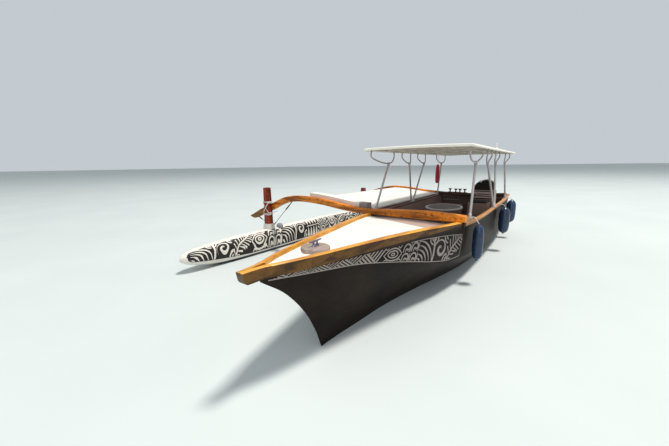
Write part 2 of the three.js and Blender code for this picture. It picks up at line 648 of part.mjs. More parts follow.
const benchStations = [BENCH_FRONT, 300, -340, -1000, -1800, BENCH_REAR];
for (const [name, side] of SIDES) {
  const bench = benchStations.map((x) => benchRing(x, side, BENCH_INNER, SOLE_TOP + GAP, BENCH_TOP, 8));
  const padZ = [BENCH_TOP + GAP, BENCH_TOP + CUSHION];
  const pad = benchStations.map((x) => benchRing(x, side, BENCH_INNER + 6, ...padZ, 16));
  addPiece("bench_" + name, loft(bench), "grey");
  addPiece("cushion_" + name, loft(pad), "cushion");
}

// Bulkhead across the hull below the rear beam, ahead of the motor's well
const BULKHEAD_X = [-3640, REAR_BEAM_X];
const BULKHEAD_TOP = 1094;
const WALL_CLEAR = 3;
function bulkheadRing(x) {
  const zs = [SOLE_TOP + GAP, hullAt(FOOT_Z, x), BULKHEAD_TOP];
  return bothSides(x, zs.map((z) => [innerHalf(x, z) - WALL_CLEAR, z]));
}
addPiece("aft_bulkhead", loft(BULKHEAD_X.map(bulkheadRing), true), "grey");

// Table: an oval top on a turned leg
const TABLE = { x: -1130, y: -50, z: 1090, rx: 520, ry: 400, thick: 32 };
const oval = [];
for (let i = 0; i < 28; i++) {
  const angle = (i * 2 * Math.PI) / 28;
  oval.push([TABLE.x + TABLE.rx * Math.cos(angle), TABLE.y + TABLE.ry * Math.sin(angle)]);
}
addPiece("table_top", plate(oval, TABLE.z - TABLE.thick, TABLE.z), "grey");
const underTable = TABLE.z - TABLE.thick - GAP;
const tableLeg = [[0, SOLE_TOP + GAP], [170, SOLE_TOP + GAP], [170, SOLE_TOP + 20], [40, SOLE_TOP + 60],
  [36, underTable - 60], [120, underTable], [0, underTable]];
addPiece("table_leg", turned(tableLeg, TABLE.x, TABLE.y, 16), "steel");

// Rear bench across the boat with its cushion and back
const [REAR_X0, REAR_X1] = [-2330, -1990];
const BACK_THICK = 60;
addPiece("rear_bench", box(REAR_X0, REAR_X1, -620, 90, SOLE_TOP + GAP, BENCH_TOP), "grey");
const rearPad = box(REAR_X0 + BACK_THICK + 8, REAR_X1, -610, 80, BENCH_TOP + GAP, BENCH_TOP + CUSHION);
addPiece("rear_cushion", rearPad, "cushion");
addPiece("rear_back", box(REAR_X0, REAR_X0 + BACK_THICK, -600, 70, BENCH_TOP + GAP, 1010), "grey");

// Helm: console with its rounded pod, the seat box ahead of it and the helmsman's seat behind it
const FACE_HIGH = [CONSOLE_X - 120, 1390];
const FACE_LOW = [CONSOLE_X - 200, 1180];
const consoleOutline = [
  [CONSOLE_X + 200, SOLE_TOP + GAP], [CONSOLE_X + 200, 1375], [CONSOLE_X + 180, 1392], FACE_HIGH,
  FACE_LOW, [CONSOLE_X - 200, SOLE_TOP + GAP],
];
const helmConsole = slab(consoleOutline, CONSOLE_Y - 270, CONSOLE_Y + 270);
addPiece("helm_console", helmConsole, "grey");
// x, half width and top z of each arch of the pod, bow to stern
const POD = [[CONSOLE_X + 175, 240, 1450], [CONSOLE_X + 130, 254, 1530], [CONSOLE_X + 40, 258, 1610],
  [CONSOLE_X - 60, 250, 1645], [CONSOLE_X - 110, 236, 1640]];
const POD_FOOT = 1370;
const POD_STEPS = 12;
// How far the arch leans its crown to port
const POD_SKEW = 0.16;
function archRing(x, half, top) {
  const ring = [];
  for (let i = 0; i <= POD_STEPS; i++) {
    const angle = (i * Math.PI) / POD_STEPS;
    const [c, s] = [Math.cos(angle), Math.sin(angle)];
    const y = CONSOLE_Y + half * Math.sign(c) * Math.abs(c) ** 0.7;
    ring.push(new THREE.Vector3(x, y, POD_FOOT + (top - POD_FOOT) * s ** 0.7 * (1 + POD_SKEW * c)));
  }
  return ring;
}
const pod = loft(POD.map(([x, half, top]) => archRing(x, half, top))).subtract(moved(helmConsole, GAP));
addPiece("helm_hood", largest(pod), "black");
const SEATS = [
  ["console_seat", "console_cushion", CONSOLE_X + 200 + GAP, CONSOLE_X + 560, 1090],
  ["helm_seat", "helm_cushion", -3450, -3120, 800],
];
const SEAT_Y = [CONSOLE_Y - 255, CONSOLE_Y + 200];
for (const [seat, cushion, x0, x1, top] of SEATS) {
  addPiece(seat, box(x0, x1, ...SEAT_Y, SOLE_TOP + GAP, top), "grey");
  addPiece(cushion, box(x0 + 4, x1 - 4, SEAT_Y[0] + 5, SEAT_Y[1] - 5, top + GAP, top + CUSHION), "cushion");
}

// Steering wheel on the console's sloping aft face
const WHEEL_Z = 1250;
const WHEEL_OUT = 70;
const faceShare = (WHEEL_Z - FACE_LOW[1]) / (FACE_HIGH[1] - FACE_LOW[1]);
const faceX = FACE_LOW[0] + (FACE_HIGH[0] - FACE_LOW[0]) * faceShare;
const WHEEL = new THREE.Vector3(faceX, CONSOLE_Y, WHEEL_Z);
const WHEEL_AXIS = new THREE.Vector3(FACE_LOW[1] - FACE_HIGH[1], 0, FACE_HIGH[0] - FACE_LOW[0]).normalize();
const wheelTurn = new THREE.Quaternion().setFromUnitVectors(new THREE.Vector3(0, 0, 1), WHEEL_AXIS);
function placeOnWheel(geometry) {
  geometry.applyQuaternion(wheelTurn);
  const centre = WHEEL.clone().addScaledVector(WHEEL_AXIS, WHEEL_OUT);
  geometry.translate(centre.x, centre.y, centre.z);
  return solid(geometry);
}
const wheelParts = [placeOnWheel(new THREE.TorusGeometry(WHEEL_R, 15, 8, 28))];
for (let i = 0; i < 3; i++) {
  const spoke = new THREE.BoxGeometry(WHEEL_R, 24, 8);
  spoke.translate(WHEEL_R / 2, 0, -4);
  spoke.rotateZ((i * 2 * Math.PI) / 3 + Math.PI / 2);
  wheelParts.push(placeOnWheel(spoke));
}
const hub = new THREE.CylinderGeometry(36, 36, 30, 16);
hub.rotateX(Math.PI / 2);
wheelParts.push(placeOnWheel(hub));
const shaftLength = WHEEL_OUT - 6;
const shaft = new THREE.CylinderGeometry(14, 14, shaftLength, 12);
shaft.rotateX(Math.PI / 2);
shaft.translate(0, 0, GAP - WHEEL_OUT + shaftLength / 2);
wheelParts.push(placeOnWheel(shaft));
addPiece("helm_wheel", join(...wheelParts), "black");

// Fenders on the port side, each on its short lanyard over the gunwale. x, top z, radius
const FENDERS = [[545, 1075, 87], [-1950, 1070, 115], [-3480, 1085, 115]];
const FENDER_LENGTH = 640;
const LANYARD_R = 6;
const NECK_R = 22;
// share of the radius and height up from the fender's foot
const FENDER_PROFILE = [
  [0.26, 16], [0.68, 52], [0.92, 120], [1, 240], [1, 420], [0.92, 530], [0.68, 590], [0.28, 630],
];
FENDERS.forEach(([x, topZ, radius], i) => {
  const capY = capOuter(x);
  const y = capY + 8 + radius;
  const profile = [
    [0, 0], [NECK_R, 0], ...FENDER_PROFILE.map(([share, z]) => [Math.max(share * radius, NECK_R), z]),
    [NECK_R, FENDER_LENGTH], [0, FENDER_LENGTH],
  ].map(([r, z]) => [r, topZ - FENDER_LENGTH + z]);
  const overCap = capTop(x) + LANYARD_R - 1;
  const route = [[y, topZ - 8], [y - 30, topZ + 40], [capY + 26, overCap - 6], [capY - 10, overCap + 3],
    [capY - 34, overCap], [capY - 66, overCap]];
  const lanyard = tube(route.map(([ropeY, ropeZ]) => [x, ropeY, ropeZ]), LANYARD_R, 16, 6);
  const fender = join(turned(profile, x, y, 14), lanyard).subtract(capsRaised);
  addPiece("fender_" + (i + 1), largest(fender), "navy");
});

// Rod holders on a rack over the rear beam
const holderParts = [];
const rackAt = (y) => along(REAR_BEAM, 1, y);
const HOLDER_CUP = [62, 104];
for (const y of [-614, -445, -325, -185]) {
  const at = (rise) => [REAR_BEAM_X, y, rackAt(y) + rise];
  holderParts.push(rod(at(2), at(HOLDER_CUP[0] + 10), 16, 10));
  holderParts.push(rod(at(HOLDER_CUP[0]), at(HOLDER_CUP[1]), 28, 12, 44));
}
const RACK_HALF = 40;
const rackRing = (y) => [[-RACK_HALF, -12], [RACK_HALF, -12], [RACK_HALF, 16], [-RACK_HALF, 16]]
  .map(([dx, dz]) => new THREE.Vector3(REAR_BEAM_X + dx, y, rackAt(y) + dz));
const rack = loft([-680, -400, -120].map(rackRing));
addPiece("rod_holders", largest(join(rack, ...holderParts).subtract(moved(rearBeam, GAP))), "black");

// Small box on the platform's inner front corner
const BLOCK = { x: [700, 880], y: [-1130, -955], z: [1186, 1328] };
const block = box(...BLOCK.x, ...BLOCK.y, ...BLOCK.z).subtract(moved(platform, GAP));
addPiece("corner_block", largest(block), "grey");

// Red bag that hangs from the awning beside the starboard rear leg
const BAG_X = -3110;
const BAG_PROFILE = [[0, 1500], [40, 1506], [66, 1560], [70, 1860], [60, 2010], [22, 2060], [0, 2060]];
addPiece("red_bag", join(
  turned(BAG_PROFILE, BAG_X, -RAIL_Y, 12),
  rod([BAG_X, -RAIL_Y, 2050], [BAG_X, -RAIL_Y, pipeZ - PIPE_R - GAP], 5, 6),
), "crimson");

// Light on the awning's top
const [LIGHT_X, LIGHT_Y] = [-1640, 860];
const roofZ = clothBase + CLOTH + crownAt(LIGHT_Y);
const light = turned([[0, roofZ - 6], [34, roofZ - 6], [30, roofZ + 30], [10, roofZ + 40], [10, roofZ + 130],
  [0, roofZ + 130]], LIGHT_X, LIGHT_Y, 12).subtract(moved(clothTop, GAP));
addPiece("roof_light", largest(light), "white");

// Mooring cleat on its pad on the foredeck
const CLEAT = [3480, -66];
const PAD_R = 165;
const deckTop = hullAt(TOP_Z, CLEAT[0]) + DECK_THICK + DECK_CROWN;
const PAD_PROFILE = [[0, -30], [PAD_R, -30], [PAD_R, 40], [PAD_R - 16, 52], [0, 52]];
const pad = turned(PAD_PROFILE.map(([r, rise]) => [r, deckTop + rise]), CLEAT[0], CLEAT[1], 24)
  .subtract(moved(foredeck, GAP));
addPiece("cleat_pad", largest(pad), "deck");
const cleatZ = deckTop + 52 + GAP;
addPiece("cleat", join(
  box(CLEAT[0] - 60, CLEAT[0] + 60, CLEAT[1] - 26, CLEAT[1] + 26, cleatZ, cleatZ + 10),
  rod([CLEAT[0] - 34, CLEAT[1], cleatZ + 4], [CLEAT[0] - 26, CLEAT[1], cleatZ + 55], 12, 10),
  rod([CLEAT[0] + 34, CLEAT[1], cleatZ + 4], [CLEAT[0] + 26, CLEAT[1], cleatZ + 55], 12, 10),
  rod([CLEAT[0] - 105, CLEAT[1], cleatZ + 58], [CLEAT[0] + 105, CLEAT[1], cleatZ + 58], 12, 10),
), "steel");

// Outboard motor: a fixed clamp bracket, a tilting bracket, the steered head and leg, and the propeller
const armOutline = [
  [TRANSOM_X - 20, 90], [TRANSOM_X - 20, 380], [PIVOT_X + 36, PIVOT_Z + 34], [PIVOT_X - 30, PIVOT_Z + 34],
  [PIVOT_X - 36, PIVOT_Z - 40], [TRANSOM_X - 80, 90],
];
const PIN_R = 18;
const BORE_R = 19;
const bracketParts = [
  box(TRANSOM_X - 40, TRANSOM_X - GAP, -190, 190, 60, 395),
  slab(armOutline, -170, -120),
  slab(armOutline, 120, 170),
  rod([PIVOT_X, -170, PIVOT_Z], [PIVOT_X, 170, PIVOT_Z], PIN_R, 16),
];
addPiece("motor_bracket", join(...bracketParts), "black");
const pinSpace = rod([PIVOT_X, -200, PIVOT_Z], [PIVOT_X, 200, PIVOT_Z], BORE_R, 16);
const tiltParts = [
  rod([PIVOT_X, -110, PIVOT_Z], [PIVOT_X, 110, PIVOT_Z], 42, 16),
  box(STEER_X - 10, PIVOT_X - 10, -50, 50, 60, PIVOT_Z + 30),
  rod([STEER_X, 0, 60], [STEER_X, 0, PIVOT_Z + 30], 42, 16),
];
const steerPin = rod([STEER_X, 0, 0], [STEER_X, 0, PIVOT_Z + 120], BORE_R, 16);
addPiece("tilt_bracket", join(...tiltParts).subtract(pinSpace).subtract(steerPin), "black");
// A level ring of the motor at z: nearly a rectangle from x0 to x1, with round corners
function cowlRing(z, x0, x1, half) {
  const squeeze = (v) => Math.sign(v) * Math.abs(v) ** 0.6;
  const ring = [];
  for (let i = 0; i < 16; i++) {
    const angle = ((i + 0.5) * 2 * Math.PI) / 16;
    const x = (x0 + x1) / 2 + ((x1 - x0) / 2) * squeeze(Math.cos(angle));
    ring.push(new THREE.Vector3(x, half * squeeze(Math.sin(angle)), z));
  }
  return ring;
}
// z, aft x, fore x, half width
const COWL = [[520, -5160, -4740, 150], [620, -5330, -4700, 205], [800, -5390, -4690, 220],
  [1000, -5380, -4700, 215], [1120, -5330, -4760, 190], [1180, -5250, -4860, 130]];
const MOTOR_LEG = [[530, -5150, -4930, 70], [300, -5140, -4960, 48], [-160, -5120, -4960, 34]];
const motorParts = [
  loft(COWL.map((row) => cowlRing(...row))),
  rod([STEER_X, 0, 10], [STEER_X, 0, PIVOT_Z + 100], PIN_R, 16),
  loft(MOTOR_LEG.map((row) => cowlRing(...row))),
  box(-5060, STEER_X, -30, 30, 6, 50),
  slab([[-5330, -205], [-4930, -205], [-4930, -217], [-5330, -217]], -110, 110),
  loft([[-150, -5130, -4950, 34], [-360, -5120, -4960, 28]].map((row) => cowlRing(...row))),
  rod([-5120, 0, PROP_Z], [-4930, 0, PROP_Z], 56, 14, 50),
  rod([-4931, 0, PROP_Z], [-4860, 0, PROP_Z], 50, 14, 12),
  slab([[-5110, -440], [-4960, -440], [-5050, -600], [-5110, -600]], -9, 9),
  loft([[-340, -5120, -4960, 28], [-430, -5115, -4950, 30]].map((row) => cowlRing(...row))),
];
addPiece("motor", join(...motorParts), "black");
const propParts = [rod([PROP_X - 70, 0, PROP_Z], [PROP_X + 49.4, 0, PROP_Z], 34, 14, 52)];
for (let i = 0; i < 3; i++) {
  const blade = new THREE.SphereGeometry(1, 12, 8);
  blade.scale(9, 62, 78);
  blade.rotateZ(0.55);
  blade.translate(0, 0, 104);
  blade.rotateX((i * 2 * Math.PI) / 3);
  blade.translate(PROP_X - 10, 0, PROP_Z);
  propParts.push(solid(blade));
}
addPiece("propeller", join(...propParts), "steel");

boat.updateMatrixWorld(true);
export default boat;
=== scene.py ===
"""Dresses the outrigger canoe: skins, woods, paints, cloth and painted motifs around the fixed frame."""
import json
import logging
import math
from collections.abc import Callable, Iterable, Sequence
from dataclasses import dataclass, field
from enum import Enum

import bmesh
import bpy
from mathutils import Matrix, Quaternion, Vector

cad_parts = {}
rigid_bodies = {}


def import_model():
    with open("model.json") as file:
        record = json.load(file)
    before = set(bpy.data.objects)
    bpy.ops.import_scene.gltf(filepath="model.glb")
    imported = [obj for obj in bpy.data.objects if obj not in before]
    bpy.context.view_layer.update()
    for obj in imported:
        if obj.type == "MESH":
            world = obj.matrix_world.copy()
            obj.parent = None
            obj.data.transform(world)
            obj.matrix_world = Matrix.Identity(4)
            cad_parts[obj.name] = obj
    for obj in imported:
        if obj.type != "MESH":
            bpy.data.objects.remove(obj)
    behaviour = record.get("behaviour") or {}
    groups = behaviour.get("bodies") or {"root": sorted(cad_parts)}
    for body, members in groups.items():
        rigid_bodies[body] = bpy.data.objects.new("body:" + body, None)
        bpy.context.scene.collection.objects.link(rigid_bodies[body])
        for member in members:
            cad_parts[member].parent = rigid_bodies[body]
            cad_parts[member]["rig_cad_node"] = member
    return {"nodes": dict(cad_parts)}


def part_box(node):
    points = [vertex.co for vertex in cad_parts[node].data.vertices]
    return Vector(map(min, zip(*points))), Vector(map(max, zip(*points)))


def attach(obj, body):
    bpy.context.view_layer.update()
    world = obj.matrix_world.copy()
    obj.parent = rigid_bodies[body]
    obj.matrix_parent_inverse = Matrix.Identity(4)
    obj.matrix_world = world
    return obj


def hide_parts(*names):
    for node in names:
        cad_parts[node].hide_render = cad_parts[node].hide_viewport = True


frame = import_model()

Triple = tuple[float, float, float]
Pair = tuple[float, float]
Ring = list[Vector]
Place = Callable[[float, float], tuple[Vector, Vector]]
Socket = bpy.types.NodeSocket

UP = Vector((0, 0, 1))
AHEAD = Vector((1, 0, 0))
# How far a seated piece stands off what carries it
GAP = 0.0004
# A rope's lay: the length of one turn of a strand in radii, and the points along it
LAY = 6.0
LAY_POINTS = 8
# A strand's radius and its distance from the rope's middle line, both in the rope's radii
STRAND_RADIUS = 0.54
STRAND_OUT = 0.48

log = logging.getLogger("canoe")
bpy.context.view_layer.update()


class Axis(Enum):
    """A direction of the boat, such as the one that a timber's grain follows."""

    ALONG = 0
    ACROSS = 1
    UP = 2


class Side(Enum):
    """The side of the boat that a piece is on."""

    PORT = 1
    STARBOARD = -1

    @property
    def word(self) -> str:
        """The side's word in a piece's name."""
        return self.name.lower()


# Shaping


def along(rows: Sequence[Sequence[float]], column: int, x: float) -> float:
    """Reads one column of a table at x on a smooth curve that never overshoots its rows.

    Args:
        rows: Rows whose first column falls.
        column: The column to read.
        x: Where to read it.

    Returns:
        The value there.
    """
    i = 0
    while i < len(rows) - 2 and x < rows[i + 1][0]:
        i += 1
    p0, p1 = rows[i], rows[i + 1]
    before, after = rows[max(i - 1, 0)], rows[min(i + 2, len(rows) - 1)]

    def slope(a: Sequence[float], b: Sequence[float]) -> float:
        """The column's slope from row a to row b."""
        return (b[column] - a[column]) / (b[0] - a[0])

    middle = slope(p0, p1)

    def limited(m: float) -> float:
        """A slope that keeps the curve between its rows."""
        return 0.0 if m * middle <= 0 else math.copysign(min(abs(m), 3 * abs(middle)), m)

    m0 = middle if i == 0 else limited(slope(before, p1))
    m1 = middle if i == len(rows) - 2 else limited(slope(p0, after))
    span = p1[0] - p0[0]
    t = (x - p0[0]) / span
    return ((2 * t**3 - 3 * t**2 + 1) * p0[column] + (t**3 - 2 * t**2 + t) * span * m0
            + (3 * t**2 - 2 * t**3) * p1[column] + (t**3 - t**2) * span * m1)


def steps(start: float, end: float, count: int) -> list[float]:
    """Evenly spaced values from start to end, count intervals."""
    return [start + (end - start) * i / count for i in range(count + 1)]


def oval(wide: float, high: float, count: int) -> list[Pair]:
    """The points of an oval about the origin, from its two half-axes."""
    return [(wide * math.cos(a), high * math.sin(a)) for a in steps(0, math.tau, count)[:-1]]


def quarter(x: float, y: float, r: float, start: float, count: int) -> list[Pair]:
    """The points of a quarter circle about x and y, from an angle in degrees on."""
    angles = steps(math.radians(start), math.radians(start + 90), count)
    return [(x + r * math.cos(a), y + r * math.sin(a)) for a in angles]


def rounded(wide: float, high: float, r: float, count: int) -> list[Pair]:
    """The outline of a rectangle with round corners about the origin.

    Args:
        wide: Half its width.
        high: Half its height.
        r: Its corners' radius.
        count: The steps in each corner.

    Returns:
        Its points.
    """
    made = []
    for i, (x, y) in enumerate(((1, 1), (-1, 1), (-1, -1), (1, -1))):
        made += quarter(x * (wide - r), y * (high - r), r, 90 * i, count)
    return made


def held(value: float, low: float = 0.0, high: float = 1.0) -> float:
    """A value that is kept from going under or over its limits."""
    return min(high, max(low, value))


def superoval(angle: float, power: float) -> Pair:
    """A point of a unit oval that is squared off by a power below 1."""
    c, s = math.cos(angle), math.sin(angle)
    return math.copysign(abs(c)**power, c), math.copysign(abs(s)**power, s)


def smooth_path(points: Sequence[Triple], count: int) -> list[Vector]:
    """A smooth curve through the points.

    Args:
        points: What the curve passes through.
        count: How many steps each stretch gets.

    Returns:
        The points of the curve.
    """
    p = [Vector(q) for q in points]
    p = [2 * p[0] - p[1], *p, 2 * p[-1] - p[-2]]
    made = []
    for i in range(1, len(p) - 2):
        a, b, c, d = p[i - 1], p[i], p[i + 1], p[i + 2]
        for k in range(count):
            t = k / count
            made.append(0.5 * (2 * b + (c - a) * t + (2 * a - 5 * b + 4 * c - d) * t**2
                               + (3 * b - a - 3 * c + d) * t**3))
    return [*made, p[-2]]


def frames(path: Sequence[Vector], closed: bool) -> list[tuple[Vector, Vector]]:
    """Two crosswise directions at each point of a path, with no twist between them.

    Args:
        path: The path's points.
        closed: Whether the path joins its start.

    Returns:
        One pair of directions for each point.
    """
    count = len(path)
    heads = []
    for i in range(count):
        a = path[i - 1] if i or closed else path[0]
        b = path[(i + 1) % count] if closed or i + 1 < count else path[-1]
        heads.append((b - a).normalized())
    side = heads[0].orthogonal().normalized()
    made = []
    for i, head in enumerate(heads):
        if i:
            side = heads[i - 1].rotation_difference(head) @ side
        side = (side - head * side.dot(head)).normalized()
        made.append((side, head.cross(side)))
    return made


class Skin:
    """Gathers points and faces, and becomes one mesh."""

    def __init__(self) -> None:
        """Starts empty."""
        self.points: list[Vector] = []
        self.faces: list[tuple[int, ...]] = []

    def loft(self, rings: Sequence[Ring], caps: bool = True, looped: bool = False) -> "Skin":
        """Adds a skin over rings of equal length.

        Args:
            rings: The rings, each in order round.
            caps: Whether the end rings are closed.
            looped: Whether the last ring joins the first.

        Returns:
            This skin.
        """
        base, count = len(self.points), len(rings[0])
        for ring in rings:
            self.points.extend(ring)
        last = len(rings) if looped else len(rings) - 1
        for r in range(last):
            here, there = base + r * count, base + ((r + 1) % len(rings)) * count
            for i in range(count):
                j = (i + 1) % count
                self.faces.append((here + i, here + j, there + j, there + i))
        if caps and not looped:
            end = base + (len(rings) - 1) * count
            self.faces.append(tuple(range(base + count - 1, base - 1, -1)))
            self.faces.append(tuple(range(end, end + count)))
        return self

    def tube(self, path: Sequence[Vector], radius: float | Sequence[float], sides: int = 14,
             closed: bool = False) -> "Skin":
        """Adds a round tube.

        Args:
            path: The tube's middle line.
            radius: Its radius, or one for each point.
            sides: How many sides it has.
            closed: Whether it joins its start.

        Returns:
            This skin.
        """
        radii = [radius] * len(path) if isinstance(radius, float) else list(radius)
        rings = []
        for point, (side, up), r in zip(path, frames(path, closed), radii):
            rings.append([point + r * (side * math.cos(a) + up * math.sin(a))
                          for a in steps(0, math.tau, sides)[:-1]])
        return self.loft(rings, caps=not closed, looped=closed)

    def rope(self, path: Sequence[Vector], radius: float, closed: bool = False) -> "Skin":
        """Adds a three-strand rope.

        Args:
            path: Its middle line.
            radius: Its radius.
            closed: Whether it joins its start.

        Returns:
            This skin.
        """
        fine: list[Vector] = []
        spacing = radius * LAY / LAY_POINTS
        ends = [*path, path[0]] if closed else list(path)
        for a, b in zip(ends, ends[1:]):
            count = max(1, round((b - a).length / spacing))
            fine.extend(a.lerp(b, k / count) for k in range(count))
        if not closed:
            fine.append(ends[-1])
        sides = frames(fine, closed)
        turn = math.tau / LAY_POINTS
        if closed:
            turn = math.tau * max(1, round(len(fine) / LAY_POINTS)) / len(fine)
        for strand in range(3):
            line = []
            for i, (point, (side, up)) in enumerate(zip(fine, sides)):
                a = i * turn + strand * math.tau / 3
                line.append(point + STRAND_OUT * radius * (side * math.cos(a) + up * math.sin(a)))
            self.tube(line, STRAND_RADIUS * radius, 6, closed)
        return self

    def turned(self, profile: Sequence[Pair], centre: Vector, axis: Vector = UP, sides: int = 32) -> "Skin":
        """Adds a turned body.

        Args:
            profile: Radius and height along the axis, from end to end.
            centre: Where the axis starts.
            axis: Its direction.
            sides: How many sides it has.

        Returns:
            This skin.
        """
        spin = UP.rotation_difference(axis.normalized())
        rings = []
        for radius, height in profile:
            r = max(radius, 1e-4)
            rings.append([centre + spin @ Vector((x, y, height)) for x, y in oval(r, r, sides)])
        return self.loft(rings)

    def slab(self, outline: Sequence[Pair], low: float, high: float) -> "Skin":
        """Adds a level outline that is raised from one height to another."""
        return self.loft([[Vector((x, y, z)) for x, y in outline] for z in (low, high)])

    def block(self, low: Triple, high: Triple) -> "Skin":
        """Adds a box between its lowest and its highest corner."""
        (x0, y0, z0), (x1, y1, z1) = low, high
        return self.slab([(x0, y0), (x1, y0), (x1, y1), (x0, y1)], z0, z1)

    def made(self, name: str, crease: float = 32.0) -> bpy.types.Object:
        """Turns what was gathered into an object.

        Args:
            name: The object's name.
            crease: The angle in degrees above which an edge stays sharp.

        Returns:
            The object, linked to the scene.
        """
        mesh = bpy.data.meshes.new(name)
        mesh.from_pydata([tuple(p) for p in self.points], [], self.faces)
        work = bmesh.new()
        work.from_mesh(mesh)
        bmesh.ops.remove_doubles(work, verts=work.verts, dist=1e-6)
        bmesh.ops.recalc_face_normals(work, faces=work.faces)
        work.to_mesh(mesh)
        work.free()
        obj = bpy.data.objects.new(name, mesh)
        bpy.context.scene.collection.objects.link(obj)
        smooth(obj, crease)
        return obj


def smooth(obj: bpy.types.Object, crease: float) -> None:
    """Shades an object smooth apart from the edges over an angle in degrees."""
    obj.data.shade_smooth()
    obj.data.set_sharp_from_angle(angle=math.radians(crease))


def round_edges(obj: bpy.types.Object, width: float, segments: int = 3, angle: float = 40.0) -> None:
    """Rounds an object's edges.

    Args:
        obj: The object.
        width: The rounding's width in metres.
        segments: How many faces cross it.
        angle: The angle in degrees above which an edge is rounded.
    """
    bevel = obj.modifiers.new("round_edges", "BEVEL")
    bevel.width = width
    bevel.segments = segments
    bevel.limit_method = "ANGLE"
    bevel.angle_limit = math.radians(angle)
    bevel.harden_normals = False
    if "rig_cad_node" in obj:
        smoother = obj.modifiers.new("even_normals", "WEIGHTED_NORMAL")
        smoother.keep_sharp = False


def settle(obj: bpy.types.Object) -> None:
    """Applies an object's modifiers to its mesh.

    Args:
        obj: The object.
    """
    graph = bpy.context.evaluated_depsgraph_get()
    mesh = bpy.data.meshes.new_from_object(obj.evaluated_get(graph))
    obj.modifiers.clear()
    obj.data = mesh


def carve(obj: bpy.types.Object, cutters: Iterable[bpy.types.Object], crease: float = 32.0) -> None:
    """Cuts other objects out of one, and removes them.

    Args:
        obj: What is cut.
        cutters: What it is cut by.
        crease: The angle for its shading afterwards.
    """
    for cutter in list(cutters):
        cut = obj.modifiers.new("cut", "BOOLEAN")
        cut.operation = "DIFFERENCE"
        cut.solver = "EXACT"
        cut.object = cutter
        settle(obj)
        bpy.data.objects.remove(cutter)
    smooth(obj, crease)


# Finishes


